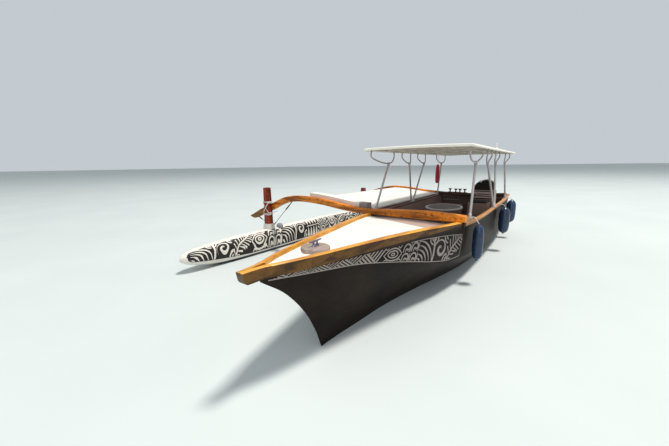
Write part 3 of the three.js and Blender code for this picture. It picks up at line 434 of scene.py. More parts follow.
class NodeSheet:
    """One procedural material and the nodes on it."""

    def __init__(self, name: str) -> None:
        """Starts a material with a Principled shader.

        Args:
            name: The material's name.
        """
        self.material = bpy.data.materials.new(name)
        self.material.use_nodes = True
        self.tree = self.material.node_tree
        self.tree.nodes.clear()
        self.shader = self.node("BsdfPrincipled")
        self.node("OutputMaterial", Surface=self.shader.outputs[0])
        self.place = self.node("TexCoord").outputs["Object"]

    def put(self, socket: Socket, value: object) -> None:
        """Links a value to a socket, or sets it there.

        Args:
            socket: The socket.
            value: A number, a colour, or the socket that gives it.
        """
        if isinstance(value, Socket):
            self.tree.links.new(value, socket)
        elif isinstance(value, tuple) and len(value) == 3 and len(socket.default_value) == 4:
            socket.default_value = (*value, 1.0)
        else:
            socket.default_value = value

    def fill(self, node: bpy.types.Node, **values: object) -> bpy.types.Node:
        """Sets a node's sockets.

        Args:
            node: The node.
            values: A value for each socket, an underscore for each space in its name.

        Returns:
            The node.
        """
        for name, value in values.items():
            self.put(node.inputs[name.replace("_", " ")], value)
        return node

    def node(self, kind: str, **values: object) -> bpy.types.Node:
        """Adds a node of a kind, and sets its sockets."""
        return self.fill(self.tree.nodes.new(f"ShaderNode{kind}"), **values)

    def set(self, **values: object) -> None:
        """Sets the shader's sockets."""
        self.fill(self.shader, **values)

    def stretched(self, stretch: Triple) -> Socket:
        """The place on the surface, stretched along each direction."""
        return self.node("Mapping", Vector=self.place, Scale=stretch).outputs[0]

    def noise(self, scale: float, detail: float, rough: float = 0.55, stretch: Triple = (1, 1, 1),
              distortion: float = 0.0) -> Socket:
        """A cloudy value, from its fineness, octaves, roughness, stretch along each direction and bend."""
        return self.node("TexNoise", Vector=self.stretched(stretch), Scale=scale, Detail=detail,
                         Roughness=rough, Distortion=distortion).outputs["Fac"]

    def cells(self, scale: float) -> Socket:
        """The distance to the nearest of scattered points."""
        return self.node("TexVoronoi", Vector=self.stretched((1, 1, 1)), Scale=scale).outputs["Distance"]

    def waves(self, scale: float, axis: Axis) -> Socket:
        """Waves across one direction.

        Args:
            scale: How fine they are.
            axis: The direction they cross.

        Returns:
            The value's socket.
        """
        node = self.node("TexWave", Vector=self.stretched((1, 1, 1)), Scale=scale, Distortion=0.0, Detail=2.0)
        node.bands_direction = "XYZ"[axis.value]
        return node.outputs["Fac"]

    def rise(self, axis: Axis, low: float, high: float) -> Socket:
        """A value that rises from 0 at one place along a direction of the boat to 1 at another."""
        return self.between(self.node("SeparateXYZ", Vector=self.place).outputs[axis.value], low, high)

    def between(self, value: Socket, low: float, high: float) -> Socket:
        """A value brought from low…high to 0…1 and held there."""
        return self.node("MapRange", Value=value, From_Min=low, From_Max=high).outputs["Result"]

    def ramp(self, value: Socket, *stops: tuple[float, Triple]) -> Socket:
        """Colours along a value.

        Args:
            value: The value.
            stops: Each stop's place and colour.

        Returns:
            The colour's socket.
        """
        node = self.node("ValToRGB", Fac=value)
        for i, (at, colour) in enumerate(stops):
            stop = node.color_ramp.elements[i] if i < 2 else node.color_ramp.elements.new(at)
            stop.position = at
            stop.color = (*colour, 1.0)
        return node.outputs["Color"]

    def shades(self, value: Socket, colour: Triple, low: float, high: float) -> Socket:
        """Shades of one colour along a value, from a factor to another."""
        return self.ramp(value, (0.3, shade(colour, low)), (0.7, shade(colour, high)))

    def mix(self, share: Socket, first: Socket, second: Triple) -> Socket:
        """Mixes two colours.

        Args:
            share: The second one's share.
            first: The first colour.
            second: The second colour.

        Returns:
            The colour's socket.
        """
        node = self.node("Mix")
        node.data_type = "RGBA"
        for i, value in ((0, share), (6, first), (7, second)):
            self.put(node.inputs[i], value)
        return node.outputs[2]

    def times(self, first: Socket, second: object) -> Socket:
        """One value times another.

        Args:
            first: The first value.
            second: A number, or the second value's socket.

        Returns:
            The product's socket.
        """
        node = self.node("Math")
        node.operation = "MULTIPLY"
        self.put(node.inputs[0], first)
        self.put(node.inputs[1], second)
        return node.outputs[0]

    def spots(self, scale: float, detail: float, rough: float, low: float, high: float,
              share: float) -> Socket:
        """Scattered spots: a cloudy value's peaks, which start at low and are full, at their share, at high."""
        return self.times(self.between(self.noise(scale, detail, rough), low, high), share)

    def roughen(self, value: Socket, low: float, high: float) -> None:
        """Varies the shader's roughness along a value, from low to high."""
        self.set(Roughness=self.node("MapRange", Value=value, To_Min=low, To_Max=high).outputs["Result"])

    def bump(self, height: Socket, strength: float, distance: float) -> None:
        """Raises the surface by a value.

        Args:
            height: The value.
            strength: How much of it counts.
            distance: Its depth in metres.
        """
        node = self.node("Bump", Height=height, Strength=strength, Distance=distance)
        normal = self.shader.inputs["Normal"]
        if normal.links:
            self.tree.links.new(normal.links[0].from_socket, node.inputs["Normal"])
        self.tree.links.new(node.outputs[0], normal)

    def worn_edges(self) -> Socket:
        """A value that is high on outer edges."""
        return self.between(self.node("NewGeometry").outputs["Pointiness"], 0.53, 0.62)


def shade(colour: Triple, factor: float) -> Triple:
    """A colour made lighter or darker by a factor."""
    return tuple(min(1.0, c * factor) for c in colour)


class Finish:
    """What every finish shares: its material is made once its nodes are laid on a sheet."""

    name: str

    def material(self) -> bpy.types.Material:
        """The finish as a material.

        Returns:
            The material.
        """
        sheet = NodeSheet(self.name)
        self.lay(sheet)
        return sheet.material

    def lay(self, sheet: NodeSheet) -> None:
        """Lays the finish's nodes on a sheet. Each finish has its own way."""
        raise NotImplementedError


@dataclass(frozen=True)
class Paint(Finish):
    """Brushed or sprayed paint, mottled a little and soiled in spots."""

    name: str
    colour: Triple
    rough: float
    mottle: float
    coat: float = 0.0
    grime: Triple = (0.32, 0.28, 0.22)
    dirt: float = 0.25

    def lay(self, sheet: NodeSheet) -> None:
        """Lays the paint.

        Args:
            sheet: The sheet that it is laid on.
        """
        fine = sheet.noise(46.0, 3.0, 0.6)
        base = sheet.ramp(sheet.noise(1.7, 6.0, 0.6), (0.3, shade(self.colour, 1 - self.mottle)),
                          (0.72, shade(self.colour, 1 + self.mottle)))
        sheet.set(Base_Color=sheet.mix(sheet.spots(9.0, 8.0, 0.7, 0.58, 0.8, self.dirt), base, self.grime))
        sheet.roughen(fine, max(0.04, self.rough - 0.07), min(1.0, self.rough + 0.12))
        if self.coat:
            sheet.set(Coat_Weight=self.coat, Coat_Roughness=0.08)
        sheet.bump(sheet.noise(3.0, 2.0, 0.4), 0.12, 0.01)
        sheet.bump(fine, 0.1, 0.0008)


@dataclass(frozen=True)
class HullPaint(Finish):
    """The hull's dark gloss paint, brown in the light, with a stained foot along the water."""

    name: str = "hull_gloss"
    shadow: Triple = (0.0050, 0.0027, 0.0022)
    body: Triple = (0.0095, 0.0050, 0.0032)
    bloom: Triple = (0.022, 0.0135, 0.0075)
    streak: Triple = (0.060, 0.045, 0.024)
    stain: Triple = (0.006, 0.006, 0.005)

    def lay(self, sheet: NodeSheet) -> None:
        """Lays the paint.

        Args:
            sheet: The sheet that it is laid on.
        """
        cloud = sheet.noise(1.1, 5.0, 0.62, (1, 1, 1.6), 0.6)
        base = sheet.ramp(cloud, (0.32, self.shadow), (0.52, self.body), (0.74, self.bloom))
        streaks = sheet.between(sheet.noise(5.0, 7.0, 0.7, (1, 1, 0.5)), 0.5, 0.8)
        aft = sheet.times(sheet.rise(Axis.ALONG, 3.0, -0.5), 0.7)
        base = sheet.mix(sheet.times(streaks, aft), base, self.streak)
        foot = sheet.times(sheet.rise(Axis.UP, 0.16, 0.0), sheet.between(sheet.noise(7.0, 5.0), 0.2, 0.7))
        sheet.set(Base_Color=sheet.mix(foot, base, self.stain), Coat_Weight=0.015, Coat_Roughness=0.25,
                  Specular_IOR_Level=0.09)
        sheet.roughen(sheet.noise(30.0, 4.0, 0.6), 0.42, 0.62)
        sheet.bump(sheet.noise(1.6, 3.0, 0.5), 0.25, 0.02)
        sheet.bump(sheet.noise(90.0, 2.0, 0.5), 0.06, 0.0006)


@dataclass(frozen=True)
class FloatPaint(Finish):
    """The float's white paint, dark in a band along its bottom."""

    name: str = "float_dark_foot"
    foot_band_top: float = 0.060
    foot_band_edge: float = 0.003
    dull: Triple = (0.70, 0.64, 0.57)
    clean: Triple = (0.78, 0.73, 0.67)
    stain: Triple = (0.42, 0.33, 0.25)
    foot_band: Triple = (0.012, 0.012, 0.011)

    def lay(self, sheet: NodeSheet) -> None:
        """Lays the paint.

        Args:
            sheet: The sheet that it is laid on.
        """
        fine = sheet.noise(46.0, 3.0, 0.6)
        base = sheet.ramp(sheet.noise(1.7, 6.0, 0.6), (0.3, self.dull), (0.72, self.clean))
        base = sheet.mix(sheet.spots(6.0, 8.0, 0.72, 0.56, 0.8, 0.35), base, self.stain)
        # Dark below a level line near the bottom
        under = sheet.rise(Axis.UP, self.foot_band_top + self.foot_band_edge, self.foot_band_top)
        sheet.set(Base_Color=sheet.mix(under, base, self.foot_band), Coat_Weight=0.2, Coat_Roughness=0.1)
        sheet.roughen(fine, 0.28, 0.48)
        sheet.bump(sheet.noise(3.0, 2.0, 0.4), 0.12, 0.01)
        sheet.bump(fine, 0.1, 0.0008)


@dataclass(frozen=True)
class Timber(Finish):
    """Stained and weathered timber with its grain along one direction."""

    name: str
    light: Triple
    dark: Triple
    grain: Axis
    coat: float
    rough: float
    weather: float
    pits: float = 0.0
    streaks: float = 9.0
    spread: float = 0.13

    def lengthwise(self, share: float) -> Triple:
        """A stretch that draws a figure out along the grain."""
        return tuple(share if axis is self.grain else 1.0 for axis in Axis)

    def lay(self, sheet: NodeSheet) -> None:
        """Lays the timber.

        Args:
            sheet: The sheet that it is laid on.
        """
        figure = sheet.noise(self.streaks, 6.0, 0.6, self.lengthwise(0.06), 0.9)
        threads = sheet.noise(140.0, 3.0, 0.6, self.lengthwise(0.015))
        base = sheet.ramp(figure, (0.5 - self.spread, self.dark), (0.5, shade(self.light, 0.72)),
                          (0.5 + self.spread, self.light))
        base = sheet.mix(sheet.times(sheet.between(threads, 0.5, 0.75), 0.4), base, shade(self.dark, 0.75))
        base = sheet.mix(sheet.spots(2.3, 5.0, 0.6, 0.48, 0.75, self.weather), base, shade(self.dark, 0.9))
        if self.pits:
            base = sheet.mix(sheet.spots(15.0, 8.0, 0.72, 0.53, 0.63, self.pits), base, shade(self.dark, 0.5))
        base = sheet.mix(sheet.times(sheet.worn_edges(), 0.45), base, shade(self.light, 1.5))
        sheet.set(Base_Color=base, Coat_Weight=self.coat, Coat_Roughness=0.2, Specular_IOR_Level=0.3)
        sheet.roughen(figure, self.rough + 0.12, self.rough - 0.06)
        sheet.bump(threads, 0.18, 0.0008)
        sheet.bump(figure, 0.12, 0.002)


@dataclass(frozen=True)
class Canvas(Finish):
    """Woven cloth with a sheen."""

    name: str
    colour: Triple
    thread: float = 900.0
    rough: float = 0.85
    stain: float = 0.2
    soil: Triple = (0.42, 0.37, 0.3)

    def lay(self, sheet: NodeSheet) -> None:
        """Lays the cloth.

        Args:
            sheet: The sheet that it is laid on.
        """
        weave = sheet.times(sheet.waves(self.thread, Axis.ALONG), sheet.waves(self.thread, Axis.ACROSS))
        base = sheet.ramp(sheet.noise(1.4, 5.0, 0.6), (0.35, shade(self.colour, 0.9)), (0.7, self.colour))
        base = sheet.mix(sheet.spots(6.0, 7.0, 0.7, 0.55, 0.82, self.stain), base, self.soil)
        base = sheet.mix(sheet.times(weave, 0.12), base, shade(self.colour, 0.7))
        sheet.set(Base_Color=base, Roughness=self.rough, Sheen_Weight=0.15, Sheen_Roughness=0.5)
        sheet.bump(weave, 0.2, 0.0006)
        sheet.bump(sheet.noise(7.0, 4.0, 0.5), 0.12, 0.006)


@dataclass(frozen=True)
class Vinyl(Finish):
    """Grained marine vinyl with dried salt on it."""

    name: str
    colour: Triple
    rough: float = 0.5
    grain: float = 420.0
    salt: Triple = (0.5, 0.5, 0.48)

    def lay(self, sheet: NodeSheet) -> None:
        """Lays the vinyl.

        Args:
            sheet: The sheet that it is laid on.
        """
        cloud = sheet.noise(3.0, 5.0, 0.6)
        base = sheet.shades(cloud, self.colour, 0.75, 1.25)
        base = sheet.mix(sheet.spots(14.0, 8.0, 0.75, 0.56, 0.85, 0.22), base, self.salt)
        sheet.set(Base_Color=base, Roughness=self.rough)
        sheet.bump(sheet.cells(self.grain), 0.3, 0.0007)
        sheet.bump(cloud, 0.1, 0.004)


@dataclass(frozen=True)
class Tubing(Finish):
    """Metal tube or fitting, drawn and a little dulled by salt."""

    name: str
    colour: Triple = (0.62, 0.62, 0.63)
    metallic: float = 1.0
    rough: float = 0.28
    salt: Triple = (0.36, 0.33, 0.3)

    def lay(self, sheet: NodeSheet) -> None:
        """Lays the metal.

        Args:
            sheet: The sheet that it is laid on.
        """
        film = sheet.noise(7.0, 6.0, 0.65)
        base = sheet.shades(film, self.colour, 0.86, 1.0)
        base = sheet.mix(sheet.spots(38.0, 6.0, 0.7, 0.55, 0.8, 0.25), base, self.salt)
        sheet.set(Base_Color=base, Metallic=self.metallic)
        sheet.roughen(film, self.rough - 0.06, self.rough + 0.16)
        sheet.bump(sheet.noise(160.0, 2.0, 0.5), 0.05, 0.0003)


@dataclass(frozen=True)
class Moulding(Finish):
    """Moulded plastic with a fine spark texture."""

    name: str
    colour: Triple
    rough: float = 0.42

    def lay(self, sheet: NodeSheet) -> None:
        """Lays the plastic.

        Args:
            sheet: The sheet that it is laid on.
        """
        base = sheet.shades(sheet.noise(5.0, 5.0, 0.6), self.colour, 0.8, 1.2)
        base = sheet.mix(sheet.times(sheet.worn_edges(), 0.3), base, shade(self.colour, 2.2))
        sheet.set(Base_Color=base, Roughness=self.rough, Specular_IOR_Level=0.22)
        sheet.bump(sheet.noise(700.0, 2.0, 0.5), 0.18, 0.0004)


@dataclass(frozen=True)
class Cordage(Finish):
    """White laid rope, a little grey in the lay."""

    name: str
    colour: Triple

    def lay(self, sheet: NodeSheet) -> None:
        """Lays the rope.

        Args:
            sheet: The sheet that it is laid on.
        """
        yarn = sheet.noise(420.0, 3.0, 0.6, (1, 1, 0.4))
        base = sheet.shades(sheet.noise(20.0, 4.0, 0.6), self.colour, 0.78, 1.0)
        base = sheet.mix(sheet.between(yarn, 0.5, 0.9), base, shade(self.colour, 0.62))
        sheet.set(Base_Color=base, Roughness=0.8)
        sheet.bump(yarn, 0.4, 0.0008)


class Store:
    """Makes each finish once, and hands it out again."""

    def __init__(self) -> None:
        """Starts with no material made."""
        self.shelf: dict[str, bpy.types.Material] = {}

    def take(self, look: Finish) -> bpy.types.Material:
        """The material of a finish.

        Args:
            look: The finish.

        Returns:
            Its material.
        """
        if look.name not in self.shelf:
            self.shelf[look.name] = look.material()
        return self.shelf[look.name]


STORE = Store()

HULL_GLOSS = HullPaint()
BAND_INK = Paint("band_ink", (0.285, 0.240, 0.215), 0.55, 0.14, 0.0, (0.09, 0.06, 0.045), 0.45)
FLOAT_INK = Paint("float_ink", (0.0075, 0.0042, 0.0030), 0.6, 0.3, 0.0, (0.10, 0.08, 0.06), 0.2)
FLOAT_LINES = Paint("float_lines", (0.74, 0.68, 0.60), 0.45, 0.06, 0.0, (0.36, 0.29, 0.22), 0.35)
FLOAT_WHITE = Paint("float_white", (0.72, 0.67, 0.61), 0.4, 0.05, 0.1, (0.36, 0.29, 0.22), 0.4)
FLOAT_HULL = FloatPaint()
DECK_WHITE = Paint("deck_white", (0.71, 0.665, 0.61), 0.6, 0.05, 0.0, (0.48, 0.38, 0.30), 0.4)
# Beige-grey: the front beam's shade painted on the foredeck's lower after end, and the deck's real seams
DECK_SHADE_AND_SEAMS = Paint("deck_shade_and_seams", (0.40, 0.285, 0.24), 0.65, 0.08, 0.0, (0.25, 0.18, 0.14), 0.4)
INSIDE = Paint("inside_taupe", (0.235, 0.155, 0.125), 0.65, 0.16, 0.0, (0.2, 0.17, 0.15), 0.3)
# The interior paint darkened for the aft bulkhead: painted shade
BULKHEAD_SHADE = Paint("bulkhead_painted_shade", (0.085, 0.050, 0.038), 0.6, 0.16, 0.0, (0.14, 0.10, 0.08), 0.3)
PANEL = Paint("panel_mauve", (0.36, 0.27, 0.235), 0.55, 0.08, 0.0, (0.2, 0.16, 0.14), 0.25)
BLOCK_GREY = Paint("block_grey", (0.25, 0.205, 0.20), 0.6, 0.1, 0.0, (0.15, 0.12, 0.11), 0.3)
GOLD_WOOD = Timber("golden_rail", (0.80, 0.36, 0.035), (0.42, 0.15, 0.014), Axis.ALONG, 0.2, 0.42, 0.2, 0.2)
# The rail timber darkened on the rails' and the beak's outer faces: painted shade
RAIL_SIDE_SHADE = Timber("rail_side_painted_shade", (0.125, 0.056, 0.0075), (0.040, 0.017, 0.0035), Axis.ALONG, 0.05, 0.6, 0.4, 0.6,
                   spread=0.08)
# The rail's foot and the seat under its after end, darkest: painted shade with some aged varnish
SHADE_WOOD = Timber("rail_foot_painted_shade", (0.016, 0.007, 0.004), (0.007, 0.003, 0.002), Axis.ALONG, 0.0, 0.7, 0.2)
CAP_WOOD = Timber("tan_cap", (0.62, 0.30, 0.10), (0.30, 0.12, 0.035), Axis.ALONG, 0.15, 0.5, 0.35, 0.25)
# The cap timber darkened for the starboard cap and the platform ledger: painted shade
SHADED_CAP = Timber("cap_painted_shade", (0.16, 0.050, 0.028), (0.06, 0.020, 0.012), Axis.ALONG, 0.15, 0.5, 0.35)
END_WOOD = Timber("end_grain", (0.17, 0.105, 0.060), (0.07, 0.038, 0.020), Axis.ALONG, 0.05, 0.7, 0.5)
BEAM_WOOD = Timber("amber_beam", (0.86, 0.255, 0.009), (0.25, 0.066, 0.004), Axis.ACROSS, 0.15, 0.5, 0.4, 0.9,
                   14.0, 0.075)
TIP_WOOD = Timber("weathered_tip", (0.36, 0.16, 0.030), (0.15, 0.058, 0.013), Axis.ACROSS, 0.05, 0.6, 0.4, 0.5)
# The beam timber darkened for the rear beam's root: painted shade from the awning
BEAM_SHADE = Timber("beam_painted_shade", (0.085, 0.036, 0.014), (0.030, 0.013, 0.006), Axis.ACROSS, 0.1, 0.55, 0.3, 0.4)
POST_WOOD = Timber("red_post", (0.30, 0.036, 0.008), (0.028, 0.0055, 0.0025), Axis.UP, 0.05, 0.6, 0.3, 0.7,
                   17.0, 0.07)
PAD_WOOD = Timber("bleached_pad", (0.42, 0.33, 0.29), (0.24, 0.17, 0.145), Axis.ALONG, 0.0, 0.7, 0.35)
SOLE_WOOD = Timber("sole_boards", (0.2, 0.15, 0.115), (0.09, 0.062, 0.045), Axis.ALONG, 0.1, 0.55, 0.3)
AWNING = Canvas("awning_canvas", (0.86, 0.83, 0.74))
RED_CLOTH = Canvas("red_cloth", (0.42, 0.014, 0.035), 1200.0, 0.75, 0.05)
BLACK_VINYL = Vinyl("black_vinyl", (0.014, 0.014, 0.018))
TAUPE_VINYL = Vinyl("taupe_vinyl", (0.235, 0.185, 0.16), 0.6)
FENDER_BLUE = Vinyl("fender_blue", (0.014, 0.034, 0.078), 0.26, 200.0)
LEG_PAINT = Tubing("leg_tube", (0.44, 0.40, 0.39), 0.35, 0.4)
STAY_STEEL = Tubing("stay_wire", (0.10, 0.095, 0.09), 0.6, 0.5)
PIPE_PAINT = Tubing("pipe_tube", (0.56, 0.52, 0.45), 0.1, 0.45)
STEEL = Tubing("polished_steel")
CLEAT_STEEL = Tubing("cleat_steel", (0.20, 0.20, 0.26), 0.9, 0.4)
BLACK = Moulding("black_moulding", (0.0045, 0.0045, 0.005))
MOTOR_BLACK = Paint("motor_black", (0.012, 0.012, 0.014), 0.22, 0.1, 0.7, (0.1, 0.1, 0.1), 0.1)
GREY_TOP = Timber("table_stain", (0.105, 0.070, 0.070), (0.075, 0.050, 0.050), Axis.ALONG, 0.05, 0.6, 0.2)
RIM_WHITE = Paint("rim_white", (0.42, 0.37, 0.36), 0.4, 0.05)
ROPE = Cordage("white_rope", (0.80, 0.76, 0.70))
DIAL = Moulding("dial_face", (0.6, 0.6, 0.58), 0.3)
VENT_GREY = Moulding("vent_grey", (0.24, 0.23, 0.24), 0.45)
SCREEN = Moulding("screen_glass", (0.01, 0.012, 0.016), 0.12)


def finish(obj: bpy.types.Object, look: Finish, body: str = "boat",
           replaces: Sequence[str] = ()) -> bpy.types.Object:
    """Gives a piece its finish and its body, and reports it.

    Args:
        obj: The piece.
        look: Its finish.
        body: The body that it rides on.
        replaces: The nodes that it stands for.

    Returns:
        The piece.
    """
    if not obj.data.materials:
        obj.data.materials.append(None)
    obj.data.materials[0] = STORE.take(look)
    if "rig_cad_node" not in obj:
        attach(obj, body)
        if replaces:
            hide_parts(*replaces)
    log.info("%s: %d faces, %s", obj.name, len(obj.data.polygons), look.name)
    return obj


def dress(node: str, look: Finish, width: float) -> None:
    """Keeps a node's own solid, with rounded edges and a finish.

    Args:
        node: The node's name.
        look: Its finish.
        width: The rounding of its edges.
    """
    obj = frame["nodes"][node]
    round_edges(obj, width)
    finish(obj, look)


def tones(obj: bpy.types.Object, looks: Sequence[Finish],
          pick: Callable[[bpy.types.MeshPolygon], int]) -> None:
    """Gives each face of a piece one of several finishes.

    Args:
        obj: The piece.
        looks: The finishes.
        pick: From a face to its finish's place among them.
    """
    obj.data.materials.clear()
    for look in looks:
        obj.data.materials.append(STORE.take(look))
    for face in obj.data.polygons:
        face.material_index = pick(face)


# The hull's lines, as in the part's source


@dataclass
class Lines:
    """The hull's lines and the places along its edge, in metres."""

    # x, keel z, keel half, bilge half, bilge z, strake foot half, strake foot z, top half, top z
    table: list[tuple[float, ...]] = field(default_factory=lambda: [
        (4.300, 1.068, .010, .014, 1.074, .020, 1.082, .042, 1.120),
        (4.000, .838, .010, .062, .930, .128, 1.048, .150, 1.116),
        (3.730, .512, .010, .078, .730, .186, .998, .222, 1.112),
        (3.560, .190, .010, .060, .480, .226, .968, .264, 1.108),
        (3.460, -.080, .010, .052, .330, .248, .952, .288, 1.106),
        (3.250, -.270, .012, .052, .180, .292, .920, .338, 1.102),
        (2.800, -.375, .014, .078, .060, .400, .850, .446, 1.094),
        (2.125, -.400, .016, .124, .0, .572, .730, .606, 1.084),
        (1.270, -.405, .018, .276, .0, .772, .560, .812, 1.078),
        (.460, -.405, .020, .440, -.010, .884, .505, .922, 1.078),
        (-.340, -.400, .024, .556, -.030, .920, .485, .950, 1.078),
        (-1.500, -.385, .030, .650, -.040, .936, .475, .960, 1.082),
        (-3.000, -.350, .040, .668, -.040, .920, .480, .944, 1.090),
        (-4.500, -.300, .060, .600, -.020, .850, .500, .876, 1.104),
    ])
    skin: float = 0.042
    curve_steps: int = 20
    sole_low: float = 0.278
    over_rim: float = 1.300
    rail_overhang: float = 0.026
    cap_overhang: float = 0.030
    cap_width: float = 0.080
    # x, rail width
    rail_widths: list[Pair] = field(default_factory=lambda: [
        (4.300, .056), (3.730, .060), (3.200, .076), (2.600, .096), (1.010, .096)])
    # x, rail top z
    rail_tops: list[Pair] = field(default_factory=lambda: [
        (4.560, 1.226), (4.300, 1.229), (4.000, 1.232), (3.240, 1.230), (2.570, 1.222), (1.900, 1.203),
        (1.010, 1.160)])
    # x, cap thickness
    cap_thick: list[Pair] = field(default_factory=lambda: [
        (.870, .168), (.800, .140), (.700, .102), (.540, .098), (.420, .062), (.300, .042), (-4.500, .040)])

    def at(self, column: int, x: float) -> float:
        """One column of the table at x."""
        return along(self.table, column, x)

    def half_section(self, x: float, inset: float = 0.0) -> list[Pair]:
        """The port half of the section at x, from the keel up.

        Args:
            x: The section's place.
            inset: How far inside the skin it lies.

        Returns:
            Its points in y and z, the last one at the top.
        """
        keel = (self.at(2, x), self.at(1, x))
        bilge = (self.at(3, x), self.at(4, x))
        foot = (self.at(5, x), self.at(6, x))
        pull = [2 * bilge[k] - (keel[k] + foot[k]) / 2 for k in (0, 1)]
        made = []
        for t in steps(0, 1, self.curve_steps):
            y, z = ((1 - t)**2 * keel[k] + 2 * t * (1 - t) * pull[k] + t * t * foot[k] for k in (0, 1))
            made.append((max(y - inset, 0.002), z + inset * 0.4))
        made.append((self.at(7, x) - inset, self.at(8, x)))
        return made

    def seat(self, x: float) -> float:
        """The height at which a piece stands on the strake's top."""
        return self.at(8, x) + GAP

    def strake_high(self, x: float) -> float:
        """The strake's height at x."""
        return self.at(8, x) - self.at(6, x)

    def rail_outer(self, x: float) -> float:
        """How far out the bow rail's outer face lies."""
        return self.at(7, x) + self.rail_overhang

    def rail_inner(self, x: float) -> float:
        """How far out the bow rail's inner face lies."""
        return self.rail_outer(x) - along(self.rail_widths, 1, x)

    def cap_outer(self, x: float) -> float:
        """How far out the gunwale cap's outer face lies."""
        return self.at(7, x) + self.cap_overhang

    def cap_top(self, x: float) -> float:
        """The gunwale cap's top."""
        return self.seat(x) + along(self.cap_thick, 1, x)

    def sole_half(self, x: float) -> float:
        """The half-breadth inside the skin at the sole's underside.

        Args:
            x: Where it is measured.

        Returns:
            The half-breadth.
        """
        half = self.half_section(x, self.skin)
        i = next(k for k, (_, z) in enumerate(half) if z > self.sole_low)
        (y0, z0), (y1, z1) = half[i - 1], half[i]
        return y0 + (y1 - y0) * (self.sole_low - z0) / (z1 - z0)

    def inner_half(self, x: float, z: float) -> float:
        """The half-breadth inside the skin in the cockpit.

        Args:
            x: Where it is measured.
            z: The height at which it is measured.

        Returns:
            The half-breadth.
        """
        low = (self.sole_half(x), self.sole_low)
        foot = (self.at(5, x) - self.skin, self.at(6, x))
        top = (self.at(7, x) - self.skin, self.over_rim)
        a, b = (low, foot) if z < foot[1] else (foot, top)
        return a[0] + (b[0] - a[0]) * (z - a[1]) / (b[1] - a[1])

    def strake(self, side: Side) -> Place:
        """Where the painted band lies on one side.

        Args:
            side: The side.

        Returns:
            A function from x and the share of the strake's height to a point and a normal.
        """
        def place(x: float, share: float) -> tuple[Vector, Vector]:
            """The point and the outward normal at one place.

            Args:
                x: The place along the boat.
                share: The share of the height.

            Returns:
                The point and the normal.
            """
            def point(px: float, s: float) -> Vector:
                """A point on the strake's plane.

                Args:
                    px: The place along the boat.
                    s: The share of the strake's height.

                Returns:
                    The point.
                """
                foot_y, foot_z, top_y, top_z = (self.at(k, px) for k in (5, 6, 7, 8))
                return Vector((px, side.value * (foot_y + (top_y - foot_y) * s),
                               foot_z + (top_z - foot_z) * s))
            here = point(x, share)
            lengthwise = point(x - 0.01, share) - here
            upwards = point(x, share + 0.05) - here
            normal = lengthwise.cross(upwards).normalized() * side.value
            return here, normal if normal.y * side.value > 0 else -normal
        return place


LINES = Lines()


def both_sides(x: float, half: Sequence[Pair]) -> Ring:
    """A ring at x from the port half's outline, mirrored to starboard."""
    port = [Vector((x, y, z)) for y, z in half]
    return [*port, *(Vector((x, -y, z)) for y, z in reversed(half))]


# Painted motifs


@dataclass
class Stroke:
    """One painted shape: a line of points and its width at each, in metres on the flat."""

    line: list[Pair]
    widths: list[float]


